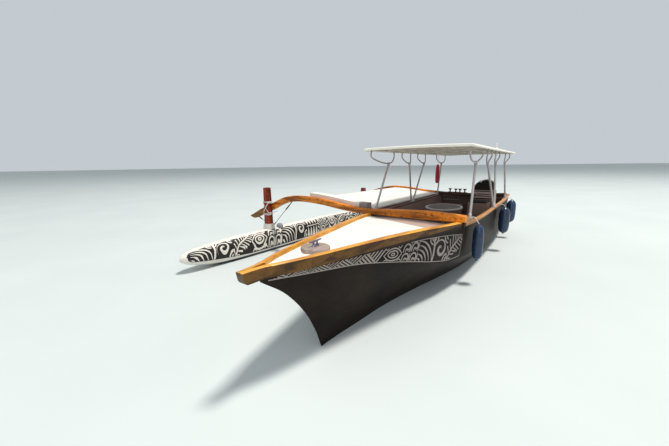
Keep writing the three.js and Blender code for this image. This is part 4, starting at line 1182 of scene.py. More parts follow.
@dataclass
class Motifs:
    """Draws the traditional kinds of motif in a cell that is wide by high metres."""

    wide: float
    high: float
    bold: float = 0.10

    def arc(self, centre: Pair, radii: Pair, start: float, end: float, width: float, taper: bool = True,
            count: int = 22) -> Stroke:
        """A stroke along an arc or a spiral.

        Args:
            centre: The arc's centre.
            radii: Its radius at the start and at the end.
            start: The start's angle in degrees.
            end: The end's angle.
            width: Its greatest width.
            taper: Whether it comes to a point at both ends.
            count: How many steps it has.

        Returns:
            The stroke.
        """
        line, widths = [], []
        for t in steps(0, 1, count):
            a = math.radians(start + (end - start) * t)
            r = radii[0] + (radii[1] - radii[0]) * t
            line.append((centre[0] + r * math.cos(a), centre[1] + r * math.sin(a)))
            widths.append(width * (max(0.06, math.sin(math.pi * t)) if taper else 1.0))
        return Stroke(line, widths)

    def curve(self, points: Sequence[Pair], weight: float, ends: Pair = (0.3, 0.3)) -> Stroke:
        """A swelling stroke along a smooth curve.

        Args:
            points: What the curve passes through, as shares of the cell.
            weight: Its greatest width, in bold strokes.
            ends: Its width at each end, as a share of that.

        Returns:
            The stroke.
        """
        path = smooth_path([(x * self.wide, y * self.high, 0.0) for x, y in points], 8)
        count = len(path) - 1
        width = weight * self.stroke
        widths = []
        for i in range(count + 1):
            t = i / count
            swell = math.sin(math.pi * t)**0.7
            widths.append(width * (swell + (1 - swell) * (ends[0] * (1 - t) + ends[1] * t)))
        return Stroke([(p.x, p.y) for p in path], widths)

    def ring(self, centre: Pair, rx: float, ry: float, weight: float) -> Stroke:
        """An oval ring.

        Args:
            centre: Its centre, as shares of the cell.
            rx: Its reach across, as a share of the cell.
            ry: Its reach upwards, as a share of the cell.
            weight: Its width, in bold strokes.

        Returns:
            The stroke.
        """
        line = [((centre[0] + rx * math.cos(a)) * self.wide, (centre[1] + ry * math.sin(a)) * self.high)
                for a in steps(0, math.tau, 28)]
        return Stroke(line, [weight * self.stroke] * len(line))

    def wedge(self, start: Pair, end: Pair, first: float, last: float) -> Stroke:
        """A straight stroke, in metres, whose width changes from end to end."""
        line = [tuple(a + (b - a) * t for a, b in zip(start, end)) for t in steps(0, 1, 4)]
        return Stroke(line, [first + (last - first) * t for t in steps(0, 1, 4)])

    @property
    def stroke(self) -> float:
        """The width of a bold stroke in metres."""
        return self.bold * self.high

    def corners(self, *spots: Pair) -> list[Stroke]:
        """Two nested quarter rings in each of the given corners.

        Args:
            spots: The corners, as shares of the cell.

        Returns:
            The strokes.
        """
        made = []
        for x, y in spots:
            start = {(0, 0): 0, (1, 0): 90, (1, 1): 180, (0, 1): 270}[(x, y)]
            for r in (0.13, 0.28):
                made.append(self.arc((x * self.wide, y * self.high), (r * self.high, r * self.high),
                                     start + 4, start + 86, self.stroke * 0.9, False, 10))
        return made

    def spiral(self) -> list[Stroke]:
        """A double spiral between two stems, with nested rings in two corners.

        Returns:
            The strokes.
        """
        c, h = (self.wide * 0.5, self.high * 0.5), self.high
        return [
            self.arc(c, (h * 0.45, h * 0.08), 215, -340, self.stroke * 1.25, count=48),
            self.arc(c, (h * 0.27, h * 0.02), 35, -340, self.stroke * 0.8, count=34),
            self.curve([(0.0, 0.0), (0.07, 0.45), (0.02, 1.0)], 1.3, (0.8, 0.8)),
            *self.corners((0, 1), (1, 0), (1, 1)),
        ]

    def lens(self) -> list[Stroke]:
        """An eye: an oval in an oval in a pointed lens, with leaves above and below.

        Returns:
            The strokes.
        """
        return [
            self.curve([(0.0, 0.46), (0.26, 0.80), (0.5, 0.88), (0.76, 0.78), (1.0, 0.5)], 1.2, (0.6, 0.6)),
            self.curve([(0.0, 0.46), (0.24, 0.16), (0.5, 0.10), (0.78, 0.2), (1.0, 0.5)], 1.2, (0.6, 0.6)),
            self.ring((0.5, 0.5), 0.27, 0.22, 1.1),
            self.ring((0.5, 0.5), 0.09, 0.08, 1.0),
            *(self.curve(leaf, 0.9) for leaf in (
                [(0.02, 0.96), (0.14, 0.86), (0.24, 0.95)], [(0.98, 0.96), (0.86, 0.84), (0.74, 0.95)],
                [(0.02, 0.05), (0.14, 0.16), (0.24, 0.05)], [(0.98, 0.06), (0.88, 0.18), (0.76, 0.06)])),
        ]

    def moons(self) -> list[Stroke]:
        """Nested crescents that rise from one corner, with rings in the opposite one.

        Returns:
            The strokes.
        """
        w, h = self.wide, self.high
        made = []
        for share in (0.16, 0.36, 0.56, 0.76, 0.96):
            line = self.arc((0.0, 0.0), (1.0, 1.0), 3, 87, self.stroke * 1.15)
            made.append(Stroke([(x * share * w, y * share * h) for x, y in line.line],
                               [max(v, self.stroke * 0.5) for v in line.widths]))
        return [*made, *self.corners((1, 1))]

    def fan(self) -> list[Stroke]:
        """A half sun with its rays.

        Returns:
            The strokes.
        """
        w, h = self.wide, self.high
        c = (w * 0.5, h * 0.03)
        made = [self.arc(c, (h * r, h * r), 0, 180, h * width, False) for r, width in
                ((0.10, 0.09), (0.26, 0.075), (0.42, 0.05))]
        for i in range(11):
            a = math.radians(8 + 164 * i / 10)
            far = min(0.93 * h, 0.50 * w / max(abs(math.cos(a)), 1e-3))
            made.append(self.wedge((c[0] + 0.50 * h * math.cos(a), c[1] + 0.50 * h * math.sin(a)),
                                   (c[0] + far * math.cos(a), c[1] + far * math.sin(a)), h * 0.045, h * 0.11))
        return [*made, *self.corners((0, 1), (1, 1))]

    def feather(self) -> list[Stroke]:
        """A curved quill with broad barbs on both sides.

        Returns:
            The strokes.
        """
        h, b = self.high, self.stroke
        quill = self.curve([(0.03, 0.04), (0.3, 0.46), (0.66, 0.72), (0.98, 0.95)], 1.1, (0.8, 0.5))
        made = [quill]
        count = len(quill.line) - 1
        for i in range(1, count, 3):
            (x0, y0), (x1, y1) = quill.line[i], quill.line[i + 1]
            run, rise = x1 - x0, y1 - y0
            size = math.hypot(run, rise)
            for turn in (1, -1):
                out = (-rise * turn / size, run * turn / size)
                reach = h * 0.46 * math.sin(math.pi * (0.08 + 0.84 * i / count))**0.7
                end = (x0 + out[0] * reach + run / size * reach * 0.5,
                       y0 + out[1] * reach + rise / size * reach * 0.5)
                start = (x0 + out[0] * b * 0.7, y0 + out[1] * b * 0.7)
                made.append(self.wedge(start, end, b * 0.45, b * 0.95))
        return made

    def waves(self) -> list[Stroke]:
        """Curling waves in two rows, each over a smaller one.

        Returns:
            The strokes.
        """
        made = []
        for row, base in enumerate((0.02, 0.52)):
            for i in range(2):
                x, y = 0.5 * i + 0.06 * row, base
                curl = [(0, 0), (0.10, 0.34), (0.30, 0.42), (0.42, 0.26), (0.33, 0.12), (0.24, 0.2)]
                inner, outer = [(0.12, 0), (0.20, 0.18), (0.26, 0.06)], [(0.34, 0), (0.46, 0.14), (0.50, 0.44)]
                for points, weight, last in ((curl, 1.15, 0.6), (inner, 0.9, 0.4), (outer, 0.9, 0.4)):
                    made.append(self.curve([(x + a, y + b) for a, b in points], weight, (0.5, last)))
        return made

    def teeth(self) -> list[Stroke]:
        """Rows of pointed teeth with a line between them.

        Returns:
            The strokes.
        """
        w, h = self.wide, self.high
        made = [self.wedge((0.0, h * 0.5), (w, h * 0.5), self.stroke * 0.7, self.stroke * 0.7)]
        count = max(2, round(w / h * 3.4))
        for i in range(count):
            x = w * (i + 0.5) / count
            size = w / count * 0.86
            made.append(self.wedge((x, h * 0.03), (x, h * 0.42), size, size * 0.05))
            made.append(self.wedge((x, h * 0.97), (x, h * 0.58), size, size * 0.05))
        return made


@dataclass
class MotifBand:
    """Lays motifs on a surface, as paint of a small real thickness."""

    place: Place
    above: float = 0.0013
    below: float = 0.0015
    across: int = 3

    def lay(self, skin: Skin, strokes: Iterable[Stroke], to_surface: Callable[[float, float], Pair]) -> None:
        """Adds strokes to a skin.

        Args:
            skin: What they are added to.
            strokes: The strokes on the flat.
            to_surface: From a point on the flat to the surface's own two numbers.
        """
        for stroke in strokes:
            rings = []
            last = len(stroke.line) - 1
            for i, (x, y) in enumerate(stroke.line):
                ax, ay = stroke.line[max(i - 1, 0)]
                bx, by = stroke.line[min(i + 1, last)]
                size = math.hypot(bx - ax, by - ay) or 1.0
                out = (-(by - ay) / size, (bx - ax) / size)
                upper, lower = [], []
                for k in range(self.across):
                    off = stroke.widths[i] * (k / (self.across - 1) - 0.5)
                    point, normal = self.place(*to_surface(x + out[0] * off, y + out[1] * off))
                    upper.append(point + normal * self.above)
                    lower.append(point - normal * self.below)
                rings.append([*upper, *reversed(lower)])
            skin.loft(rings)


# Sub-assemblies


@dataclass
class Hull:
    """The hull's shell, its sole, its foredeck and the painted bands on its strakes."""

    bow_x: float = 4.300
    transom_x: float = -4.500
    cockpit_front: float = 0.760
    transom_thick: float = 0.050
    notch_half: float = 0.500
    notch_z: float = 0.400
    rail_stands: float = 0.045
    # The foredeck's crown, how far its edge lies over the strake, and the margin raised along the rails
    crown: float = 0.024
    crown_foot: float = 0.0204
    margin: float = 0.20
    margin_share: float = 0.6
    # The painted shade's thickness over and in the deck, and a seam's radius and depth
    paint: Pair = (0.0012, 0.002)
    seam: Pair = (0.0026, 0.0012)
    # y, the front edge of the beam's painted shade on the deck's after end
    shade_strip: list[Pair] = field(default_factory=lambda: [
        (0.74, 1.50), (0.527, 1.514), (0.124, 1.432), (-0.259, 1.287), (-0.731, 1.075), (-0.82, 1.050)])
    band_end: float = 0.905
    # x, share of the strake's height at the band's lower and upper edge
    band: list[Triple] = field(default_factory=lambda: [
        (4.26, 0.06, 0.98), (4.10, 0.22, 0.98), (3.45, 0.42, 0.98), (2.63, 0.20, 0.975), (1.89, 0.06, 0.93),
        (1.35, 0.06, 0.86), (0.90, 0.10, 0.76),
    ])

    def stations(self) -> list[float]:
        """Where the shell's sections lie, closer together towards the bow."""
        return steps(self.bow_x, 3.2, 34) + steps(3.2, 1.2, 26)[1:] + steps(1.2, self.transom_x, 44)[1:]

    def shell(self) -> None:
        """Builds the hull's skin with its hollow cockpit and the motor's notch."""
        rings = [both_sides(x, LINES.half_section(x)) for x in self.stations()]
        hull = Skin().loft(rings).made("hull_shell", 24)
        hollow = []
        for x in steps(self.cockpit_front, self.transom_x + self.transom_thick, 40):
            low, foot, top = (LINES.sole_half(x), *(LINES.at(k, x) - LINES.skin for k in (5, 7)))
            half = [(low, LINES.sole_low), (foot, LINES.at(6, x)), (top, LINES.over_rim)]
            hollow.append(both_sides(x, half))
        notch = Skin().block((self.transom_x - 0.1, -self.notch_half, self.notch_z),
                             (self.transom_x + 0.1, self.notch_half, LINES.over_rim)).made("notch")
        carve(hull, [Skin().loft(hollow).made("cockpit"), notch], 24)

        def inside(face: bpy.types.MeshPolygon) -> int:
            """The place of a face's finish: 1 where it looks into the cockpit.

            Args:
                face: The face.

            Returns:
                The finish's place.
            """
            c, n = face.center, face.normal
            in_length = self.transom_x + 0.04 < c.x < self.cockpit_front + 0.01
            faces_in = n.y * c.y < -0.02 or n.x > 0.9 or (n.x < -0.9 and c.x > 0)
            return int(in_length and c.z > LINES.sole_low - 0.002 and faces_in)

        tones(hull, (HULL_GLOSS, INSIDE), inside)
        finish(hull, HULL_GLOSS, replaces=["hull"])

    def deck_height(self, x: float, y: float) -> float:
        """The foredeck's top: crowned in the middle and raised along the rails.

        Args:
            x: The place along the boat.
            y: The place across it.

        Returns:
            The height.
        """
        half = LINES.rail_inner(x)
        crown = LINES.at(8, x) + self.crown_foot + self.crown * (1 - (y / half)**2)
        margin = along(LINES.rail_tops, 1, x) - self.rail_stands
        reach = min(self.margin, half * self.margin_share)
        t = held((abs(y) - half + reach) / reach)
        return crown + (margin - crown) * t * t * (3 - 2 * t)

    def foredeck(self) -> None:
        """Builds the foredeck, the front beam's shade painted on its after end, and its seams."""
        rings = []
        for x in steps(4.25, 1.02, 70):
            half, low = LINES.rail_inner(x) - GAP, LINES.seat(x)
            rings.append([Vector((x, -half, low)), Vector((x, half, low)),
                          *(Vector((x, y, self.deck_height(x, y))) for y in steps(half, -half, 40))])
        finish(Skin().loft(rings).made("foredeck_panel", 50), DECK_WHITE, replaces=["foredeck"])
        # The front beam's shade, painted as a beige strip over the deck's lower after end
        rings = []
        for y in steps(-0.76, 0.755, 40):
            front = min(along(self.shade_strip, 1, y), 1.6)
            row = [Vector((x, y, self.deck_height(x, y))) for x in steps(1.021, front, 12)]
            rings.append([*(p + UP * self.paint[0] for p in row), *(p - UP * self.paint[1] for p in reversed(row))])
        finish(Skin().loft(rings).made("foredeck_beam_shade", 60), DECK_SHADE_AND_SEAMS)
        seams = Skin()
        for y0, y1 in ((-0.20, -0.42), (0.0, -0.02), (0.16, 0.36)):
            line = [(x, y0 + (y1 - y0) * (3.0 - x) / 1.4) for x in steps(2.95, 1.62, 30)]
            seams.tube([Vector((x, y, self.deck_height(x, y) - self.seam[1])) for x, y in line], self.seam[0], 8)
        finish(seams.made("foredeck_seams", 60), DECK_SHADE_AND_SEAMS)

    def bands(self) -> None:
        """Paints the herringbone and the motifs on both strakes."""
        for side in Side:
            skin = Skin()
            painter = MotifBand(LINES.strake(side), across=2)
            self.edge_lines(skin, painter)
            self.zigzag(skin, painter)
            self.figures(skin, painter)
            finish(skin.made(f"band_{side.word}", 60), BAND_INK)

    def share(self, x: float, t: float) -> float:
        """The strake's share at t of the band's height."""
        low, high = along(self.band, 1, x), along(self.band, 2, x)
        return low + (high - low) * t

    def height(self, x: float) -> float:
        """The band's height in metres at x."""
        return (self.share(x, 1) - self.share(x, 0)) * LINES.strake_high(x)

    def edge_lines(self, skin: Skin, painter: MotifBand) -> None:
        """Draws the line along the band's lower and upper edge and round its after end.

        Args:
            skin: What the lines are added to.
            painter: What lays them.
        """
        for start, t, width in ((4.25, 0.0, 0.011), (2.30, 1.0, 0.010)):
            xs = steps(start, self.band_end, 90)
            painter.lay(skin, [Stroke([(x, 0.0) for x in xs], [width] * len(xs))],
                        lambda x, y, t=t: (x, self.share(x, t) + y / LINES.strake_high(x)))
        end = [(self.band_end - 0.02 * math.sin(math.pi * t), t) for t in steps(0, 1, 12)]
        painter.lay(skin, [Stroke(end, [0.011] * len(end))], lambda x, y: (x, self.share(x, held(y))))

    def zigzag(self, skin: Skin, painter: MotifBand) -> None:
        """Fills the triangles of a zigzag with slanted bars, thick below it and thin above it.

        Args:
            skin: What the bars are added to.
            painter: What lays them.
        """
        turns = [4.22, 4.14, 4.05, 3.95, 3.83, 3.70, 3.56, 3.41, 3.25, 3.08, 2.90, 2.75]
        spots = [(-x, (i % 2) * self.height(x)) for i, x in enumerate(turns)]

        def on_side(a: Pair, b: Pair, t: float) -> Pair:
            """The point at t between two points."""
            return a[0] + (b[0] - a[0]) * t, a[1] + (b[1] - a[1]) * t
        strokes = []
        for i, (first, turn, last) in enumerate(zip(spots, spots[1:], spots[2:])):
            bars = 3 if i < 2 else 5
            height = max(self.height(-turn[0]), 0.02)
            side = math.hypot(last[0] - turn[0], height)
            pitch = (last[0] - first[0]) / bars * height / side
            width = pitch * (0.56 if i % 2 == 0 else 0.40)
            for k in range(bars):
                t = (k + 0.62) / bars
                bar = Motifs(1, 1).wedge(on_side(first, turn, t), on_side(first, last, t), width, width)
                strokes.append(bar)
        painter.lay(skin, strokes, lambda x, y: (-x, self.share(-x, held(y / self.height(-x)))))

    def figures(self, skin: Skin, painter: MotifBand) -> None:
        """Draws the figures of the after part.

        Args:
            skin: What they are added to.
            painter: What lays them.
        """
        cells = [(2.80, 2.46, Motifs.lens), (2.46, 2.12, Motifs.waves), (2.12, 1.76, Motifs.moons),
                 (1.76, 1.37, Motifs.spiral), (1.37, 0.93, Motifs.feather)]
        for start, end, draw in cells:
            cell = Motifs(start - end, self.height((start + end) / 2), 0.074)
            painter.lay(skin, draw(cell), lambda x, y, start=start, high=cell.high: (
                start - x, self.share(start - x, held(y / high))))

    def build(self) -> None:
        """Builds the hull and dresses its plain nodes."""
        self.shell()
        self.foredeck()
        self.bands()
        dress("keel", HULL_GLOSS, 0.003)
        dress("sole", SOLE_WOOD, 0.002)


@dataclass
class Rails:
    """The bow rails, the beak that they meet in and the gunwale caps."""

    start: float = 4.25
    # x, how far up its foot is painted dark: painted shade along the rail's lower edge, with some aged varnish
    shade_foot: list[Pair] = field(default_factory=lambda: [
        (4.260, .001), (3.700, .004), (3.300, .014), (2.600, .030), (1.010, .036)])
    # x, half width, bottom z and rake of each ring ahead of the stem head
    beak: list[tuple[float, ...]] = field(default_factory=lambda: [
        (4.507, .045, 1.144, .2), (4.500, .0465, 1.128, .2), (4.490, .0475, 1.117, .2), (4.478, .048, 1.113, .18),
        (4.450, .050, 1.1125, .1), (4.420, .052, 1.113, .0), (4.380, .0565, 1.1152, .0), (4.340, .062, 1.118, .0)])
    edge: float = 0.014
    bright_edge: float = 0.026
    inner_edge: float = 0.008
    # The height about which the beak's end leans, and where the groove between the rails ends
    lean_z: float = 1.180
    groove_tip: float = 4.400
    # The seat under each rail's after end: its x, its y, its foot and its top on each side
    seat_x: Pair = (0.885, 1.023)
    seat: Pair = (0.786, 0.905)
    seat_z: float = 1.080
    seat_tops: dict[Side, float] = field(default_factory=lambda: {Side.PORT: 1.140, Side.STARBOARD: 1.130})
    # The x of a cap's front, of the place where its steps get longer and of its after end
    cap_x: Triple = (0.870, 0.250, -4.500)
    # The block at a cap's after end: its forward end, its y and its height
    end_x: float = -4.410
    end_y: Pair = (0.500, 0.856)
    end_high: float = 0.038

    def rail_ring(self, x: float, side: Side) -> Ring:
        """The rail's section at x.

        Args:
            x: The section's place.
            side: The rail's side.

        Returns:
            Its points.
        """
        out, inner = LINES.rail_outer(x), LINES.rail_inner(x)
        low, top = LINES.seat(x), along(LINES.rail_tops, 1, x)
        r, small = min(self.bright_edge, (top - low) * 0.3), self.inner_edge
        outline = [(inner, low), (out, low), (out, low + along(self.shade_foot, 1, x)),
                   *quarter(out - r, top - r, r, 0, 5), *quarter(inner + small, top - small, small, 90, 3)]
        return [Vector((x, side.value * y, z)) for y, z in outline]

    def beak_ring(self, x: float, half: float, low: float, rake: float) -> Ring:
        """The beak's section at x.

        Args:
            x: The section's place.
            half: Its half width.
            low: Its lower face.
            rake: How far it leans.

        Returns:
            Its points.
        """
        top, r = along(LINES.rail_tops, 1, x), self.edge
        right = quarter(half - r, top - r, r, 0, 5)
        outline = [(-half, low), (half, low), *right, *((-y, z) for y, z in reversed(right))]
        return [Vector((x + (z - self.lean_z) * rake, y, z)) for y, z in outline]

    def cap_ring(self, x: float, side: Side) -> Ring:
        """The gunwale cap's section at x.

        Args:
            x: The section's place.
            side: The cap's side.

        Returns:
            Its points.
        """
        out, low, top, r = LINES.cap_outer(x), LINES.seat(x), LINES.cap_top(x), self.edge
        inner = out - LINES.cap_width
        outline = [(inner, low), (out, low), *quarter(out - r, top - r, r, 0, 5),
                   *quarter(inner + r, top - r, r, 90, 5)]
        return [Vector((x, side.value * y, z)) for y, z in outline]

    def build(self) -> None:
        """Builds the rails, the beak and the caps."""
        for side in Side:
            rail = Skin().loft([self.rail_ring(x, side) for x in steps(self.start, 1.016, 80)])
            seat_y = sorted(side.value * y for y in self.seat)
            rail.block((self.seat_x[0], seat_y[0], self.seat_z), (self.seat_x[1], seat_y[1], self.seat_tops[side]))
            obj = rail.made(f"bow_rail_{side.word}_wood", 40)
            self.tone(obj, side)
            finish(obj, GOLD_WOOD, replaces=[f"bow_rail_{side.word}"])
            front, middle, aft = self.cap_x
            xs = steps(front, middle, 40) + steps(middle, aft, 60)[1:]
            cap = Skin().loft([self.cap_ring(x, side) for x in xs])
            ends = sorted(side.value * y for y in self.end_y)
            low = LINES.seat(aft)
            cap.block((aft, ends[0], low), (self.end_x, ends[1], low + self.end_high))
            obj = cap.made(f"gunwale_{side.word}_wood", 40)
            round_edges(obj, 0.004, 2)
            # The starboard cap takes the cap timber's painted shade
            look = CAP_WOOD if side is Side.PORT else SHADED_CAP
            finish(obj, look, replaces=[f"gunwale_{side.word}"])
        self.beak_wood()

    def tone(self, obj: bpy.types.Object, side: Side) -> None:
        """Paints shade on a rail: its outer face darker, and its foot, with some aged varnish, and the seat under its
        after end darkest.

        Args:
            obj: The rail.
            side: Its side.
        """
        def pick(face: bpy.types.MeshPolygon) -> int:
            """The place of a face's finish.

            Args:
                face: The face.

            Returns:
                The finish's place.
            """
            c = face.center
            outward = face.normal.y * side.value > 0.75
            in_foot = c.z < LINES.seat(c.x) + along(self.shade_foot, 1, c.x) * 0.9
            # The seat under the rail's after end takes the same painted shade
            in_seat = c.x < 1.03 and c.z < 1.141
            return 2 if in_seat or outward and in_foot else int(outward)

        tones(obj, (GOLD_WOOD, RAIL_SIDE_SHADE, SHADE_WOOD), pick)

    def beak_wood(self) -> None:
        """Builds the beak with the groove between the rails' inner edges, its darker end grain and the rails' painted
        shade on its sides.
        """
        rings = [self.beak_ring(*row) for row in self.beak]
        joint = self.start + GAP
        for x, sink in ((4.30, 0.0), (4.285, 0.0), (4.27, 0.0), (joint, 0.0), (self.start - 0.012, 0.006)):
            rings.append(self.beak_ring(x, LINES.rail_outer(x) - sink, LINES.seat(x) + sink, -sink))
        beak = Skin().loft(rings).made("beak_wood", 40)
        half, aft, tip = LINES.rail_inner(self.start), self.start - 0.01, self.groove_tip
        groove = [(aft, -half), (tip, -0.001), (tip, 0.001), (aft, half)]
        carve(beak, [Skin().slab(groove, 1.160, 1.300).made("groove")], 40)
        round_edges(beak, 0.006, 3, 50)

        def pick(face: bpy.types.MeshPolygon) -> int:
            """The place of a face's finish.

            Args:
                face: The face.

            Returns:
                The finish's place.
            """
            c, n = face.center, face.normal
            if n.x > 0.6 and c.x > 4.47:
                return 1
            # The beak's sides take the rails' painted shade
            return 2 if abs(n.y) > 0.75 and abs(c.y) > 0.04 and n.y * c.y > 0 else 0

        tones(beak, (GOLD_WOOD, END_WOOD, RAIL_SIDE_SHADE), pick)
        finish(beak, GOLD_WOOD, replaces=["beak"])


@dataclass
class BowCleat:
    """The round pad on the foredeck and the cleat on it."""

    x: float = 3.480
    y: float = -0.066
    radius: float = 0.165

    def build(self) -> None:
        """Builds the pad, the cleat and its bolts."""
        low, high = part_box("cleat_pad")
        top = high.z
        profile = [(0.0, low.z + 0.004), (self.radius, low.z + 0.004), (self.radius, top - 0.018),
                   (self.radius - 0.004, top - 0.008), (self.radius - 0.012, top - 0.002), (self.radius - 0.02, top),
                   (0.0, top)]
        pad = Skin().turned(profile, Vector((self.x, self.y, 0)), sides=64).made("cleat_pad_wood", 30)
        finish(pad, PAD_WOOD, replaces=["cleat_pad"])
        base = top + GAP
        foot = oval(0.06, 0.026, 32)
        skin = Skin().loft([[Vector((self.x + dx * s, self.y + dy * s, base + z)) for dx, dy in foot]
                            for z, s in ((0, 1.0), (0.007, 1.0), (0.010, 0.92))])
        for side in (-1, 1):
            leg = [Vector((self.x + side * out, self.y, base + z))
                   for out, z in ((0.034, 0.006), (0.031, 0.026), (0.028, 0.056))]
            skin.tube(leg, [0.015, 0.0105, 0.0105], 16)
        horn = [(-0.105, 0.062, 0.005), (-0.085, 0.060, 0.0095), (-0.04, 0.058, 0.0115), (0.0, 0.058, 0.012),
                (0.04, 0.058, 0.0115), (0.085, 0.060, 0.0095), (0.105, 0.062, 0.005)]
        skin.tube([Vector((self.x + d, self.y, base + z)) for d, z, _ in horn], [r for _, _, r in horn], 16)
        finish(skin.made("cleat_metal", 40), CLEAT_STEEL, replaces=["cleat"])
        bolts = Skin()
        for side in (-1, 1):
            bolts.turned([(0.0, 0.0), (0.006, 0.0), (0.0055, 0.003), (0.0, 0.0042)],
                         Vector((self.x + side * 0.05, self.y, base + 0.0098)), sides=16)
        finish(bolts.made("cleat_bolts"), STEEL)


@dataclass
class Outrigger:
    """The cross beams, the float, its posts, their lashings and stays, and the platform."""

    beam_width: float = 0.130
    front_x: float = 0.950
    rear_x: float = -3.600
    float_y: float = -3.700
    post_offset: float = 0.1354
    # y, top z, depth
    front: list[Triple] = field(default_factory=lambda: [
        (.915, 1.262, .106), (.340, 1.292, .150), (-.400, 1.262, .128), (-.920, 1.236, .104), (-1.435, 1.285, .120),
        (-2.050, 1.362, .124), (-2.660, 1.395, .130), (-3.150, 1.345, .150), (-3.700, 1.132, .164),
        (-4.100, .975, .160), (-4.360, .852, .138), (-4.520, .776, .020)])
    rear: list[Triple] = field(default_factory=lambda: [
        (.915, 1.250, .108), (.340, 1.212, .104), (-.400, 1.200, .098), (-.920, 1.220, .100), (-1.435, 1.260, .114),
        (-2.050, 1.332, .118), (-2.550, 1.350, .110), (-3.100, 1.240, .100), (-3.700, 1.030, .092),
        (-4.000, .950, .080), (-4.250, .850, .052)])
    # x, bottom z, top z, half width
    hull: list[tuple[float, ...]] = field(default_factory=lambda: [
        (3.350, .262, .318, .020), (3.300, .216, .372, .074), (3.150, .150, .432, .132), (2.800, .070, .478, .178),
        (2.200, -.020, .512, .206), (1.300, -.090, .530, .222), (.0, -.130, .536, .228), (-1.500, -.130, .530, .228),
        (-2.900, -.100, .512, .220), (-3.900, -.040, .480, .196), (-4.400, .060, .440, .150),
        (-4.650, .170, .380, .080), (-4.720, .240, .320, .020)])
    squeeze: float = 0.72
    band_foot: float = 0.095
    # Where the rear beam's painted shade starts
    shade_start: float = -1.05
    # A lashing's rope, and how far from the post's middle line it runs
    line: float = 0.0068
    wrap: float = 0.078
    post_foot: float = 0.089
    post_head: float = 0.066
    # How far the platform lies under the beams' tops, and its thickness
    platform_step: float = 0.055
    platform_thick: float = 0.026

    def beam_ring(self, rows: list[Triple], x: float, y: float) -> Ring:
        """A beam's section, with rounded corners.

        Args:
            rows: The beam's tops and depths.
            x: Its middle line.
            y: The section's place.

        Returns:
            Its points.
        """
        top, depth = along(rows, 1, y), along(rows, 2, y)
        outline = rounded(self.beam_width / 2, depth / 2, min(0.020, depth * 0.25), 4)
        return [Vector((x + a, y, top - depth / 2 + b)) for a, b in outline]

    def beams(self) -> None:
        """Builds both cross beams."""
        for word, rows, x in (("front", self.front, self.front_x), ("rear", self.rear, self.rear_x)):
            ys = steps(rows[0][0], rows[-1][0], 110)
            beam = Skin().loft([self.beam_ring(rows, x, y) for y in ys]).made(f"{word}_beam_wood", 40)
            # The tip is weathered, and the rear beam's root is painted darker as shade from the awning
            shade_start = self.shade_start if word == "rear" else math.inf
            tones(beam, (BEAM_WOOD, TIP_WOOD, BEAM_SHADE), lambda face, start=shade_start: (
                1 if face.center.y < self.float_y - 0.10 else 2 * (face.center.y > start)))
            finish(beam, BEAM_WOOD, replaces=[f"{word}_beam"])

    def float_point(self, x: float, angle: float) -> Vector:
        """A point of the float's skin.

        Args:
            x: Its place along the float.
            angle: Its angle, from the port side upwards.

        Returns:
            The point.
        """
        low, high, half = (along(self.hull, k, x) for k in (1, 2, 3))
        c, s = superoval(angle, self.squeeze)
        return Vector((x, self.float_y + half * c, (low + high) / 2 + (high - low) / 2 * s))

    def float_hull(self) -> None:
        """Builds the float."""
        xs = [3.350, 3.346, 3.336, 3.320, 3.300, 3.275, 3.245, 3.2] + steps(3.15, -4.4, 90)
        xs += [-4.45, -4.5, -4.55, -4.6, -4.64, -4.67, -4.69, -4.705, -4.715, -4.72]
        angles = [a + math.pi / 40 for a in steps(0, math.tau, 40)[:-1]]
        body = Skin().loft([[self.float_point(x, a) for a in angles] for x in xs]).made("float_hull", 50)
        finish(body, FLOAT_HULL, replaces=["ama"])

    def float_place(self, side: Side) -> Place:
        """Where the motifs lie on one side of the float.

        Args:
            side: The side.

        Returns:
            A function from x and the share of the painted height to a point and a normal.
        """
        top = math.radians(66)

        def place(x: float, share: float) -> tuple[Vector, Vector]:
            """The point and the outward normal at one place.

            Args:
                x: The place along the boat.
                share: The share of the height.

            Returns:
                The point and the normal.
            """
            foot, head = along(self.hull, 1, x), along(self.hull, 2, x)
            drop = (foot + head) / 2 - max(self.band_foot, foot + 0.26 * (head - foot))
            low = -math.asin(held(2 * drop / (head - foot))**(1 / self.squeeze))

            def angle(s: float) -> float:
                """The angle of a share."""
                a = low + (top - low) * s
                return a if side is Side.PORT else math.pi - a
            here = self.float_point(x, angle(share))
            lengthwise = self.float_point(x - 0.02, angle(share)) - here
            upwards = self.float_point(x, angle(share + 0.04)) - here
            normal = lengthwise.cross(upwards).normalized()
            outward = here - Vector((here.x, self.float_y, (foot + head) / 2))
            return here, normal if normal.dot(outward) > 0 else -normal
        return place

    def float_ground(self, skin: Skin, place: Place) -> None:
        """Lays the dark ground of the float's motifs, with a scalloped upper edge.

        Args:
            skin: What it is added to.
            place: Where it lies.
        """
        start, end = 3.255, -4.42
        rings = []
        for x in steps(start, end, 330):
            near = min(1.0, (start - x) / 0.10, (x - end) / 0.10)
            round_off = math.sqrt(max(0.0, 1 - (1 - near)**2))
            scallop = 0.42 + 0.08 * abs(math.sin(math.pi * (start - x) / 0.23))
            low, high = 0.5 - 0.5 * round_off, 0.5 + round_off * scallop
            spots = [place(x, s) for s in steps(low, high + 0.002, 8)]
            rings.append([*(p + n * 0.0012 for p, n in spots), *(p - n * 0.0015 for p, n in reversed(spots))])
        skin.loft(rings)

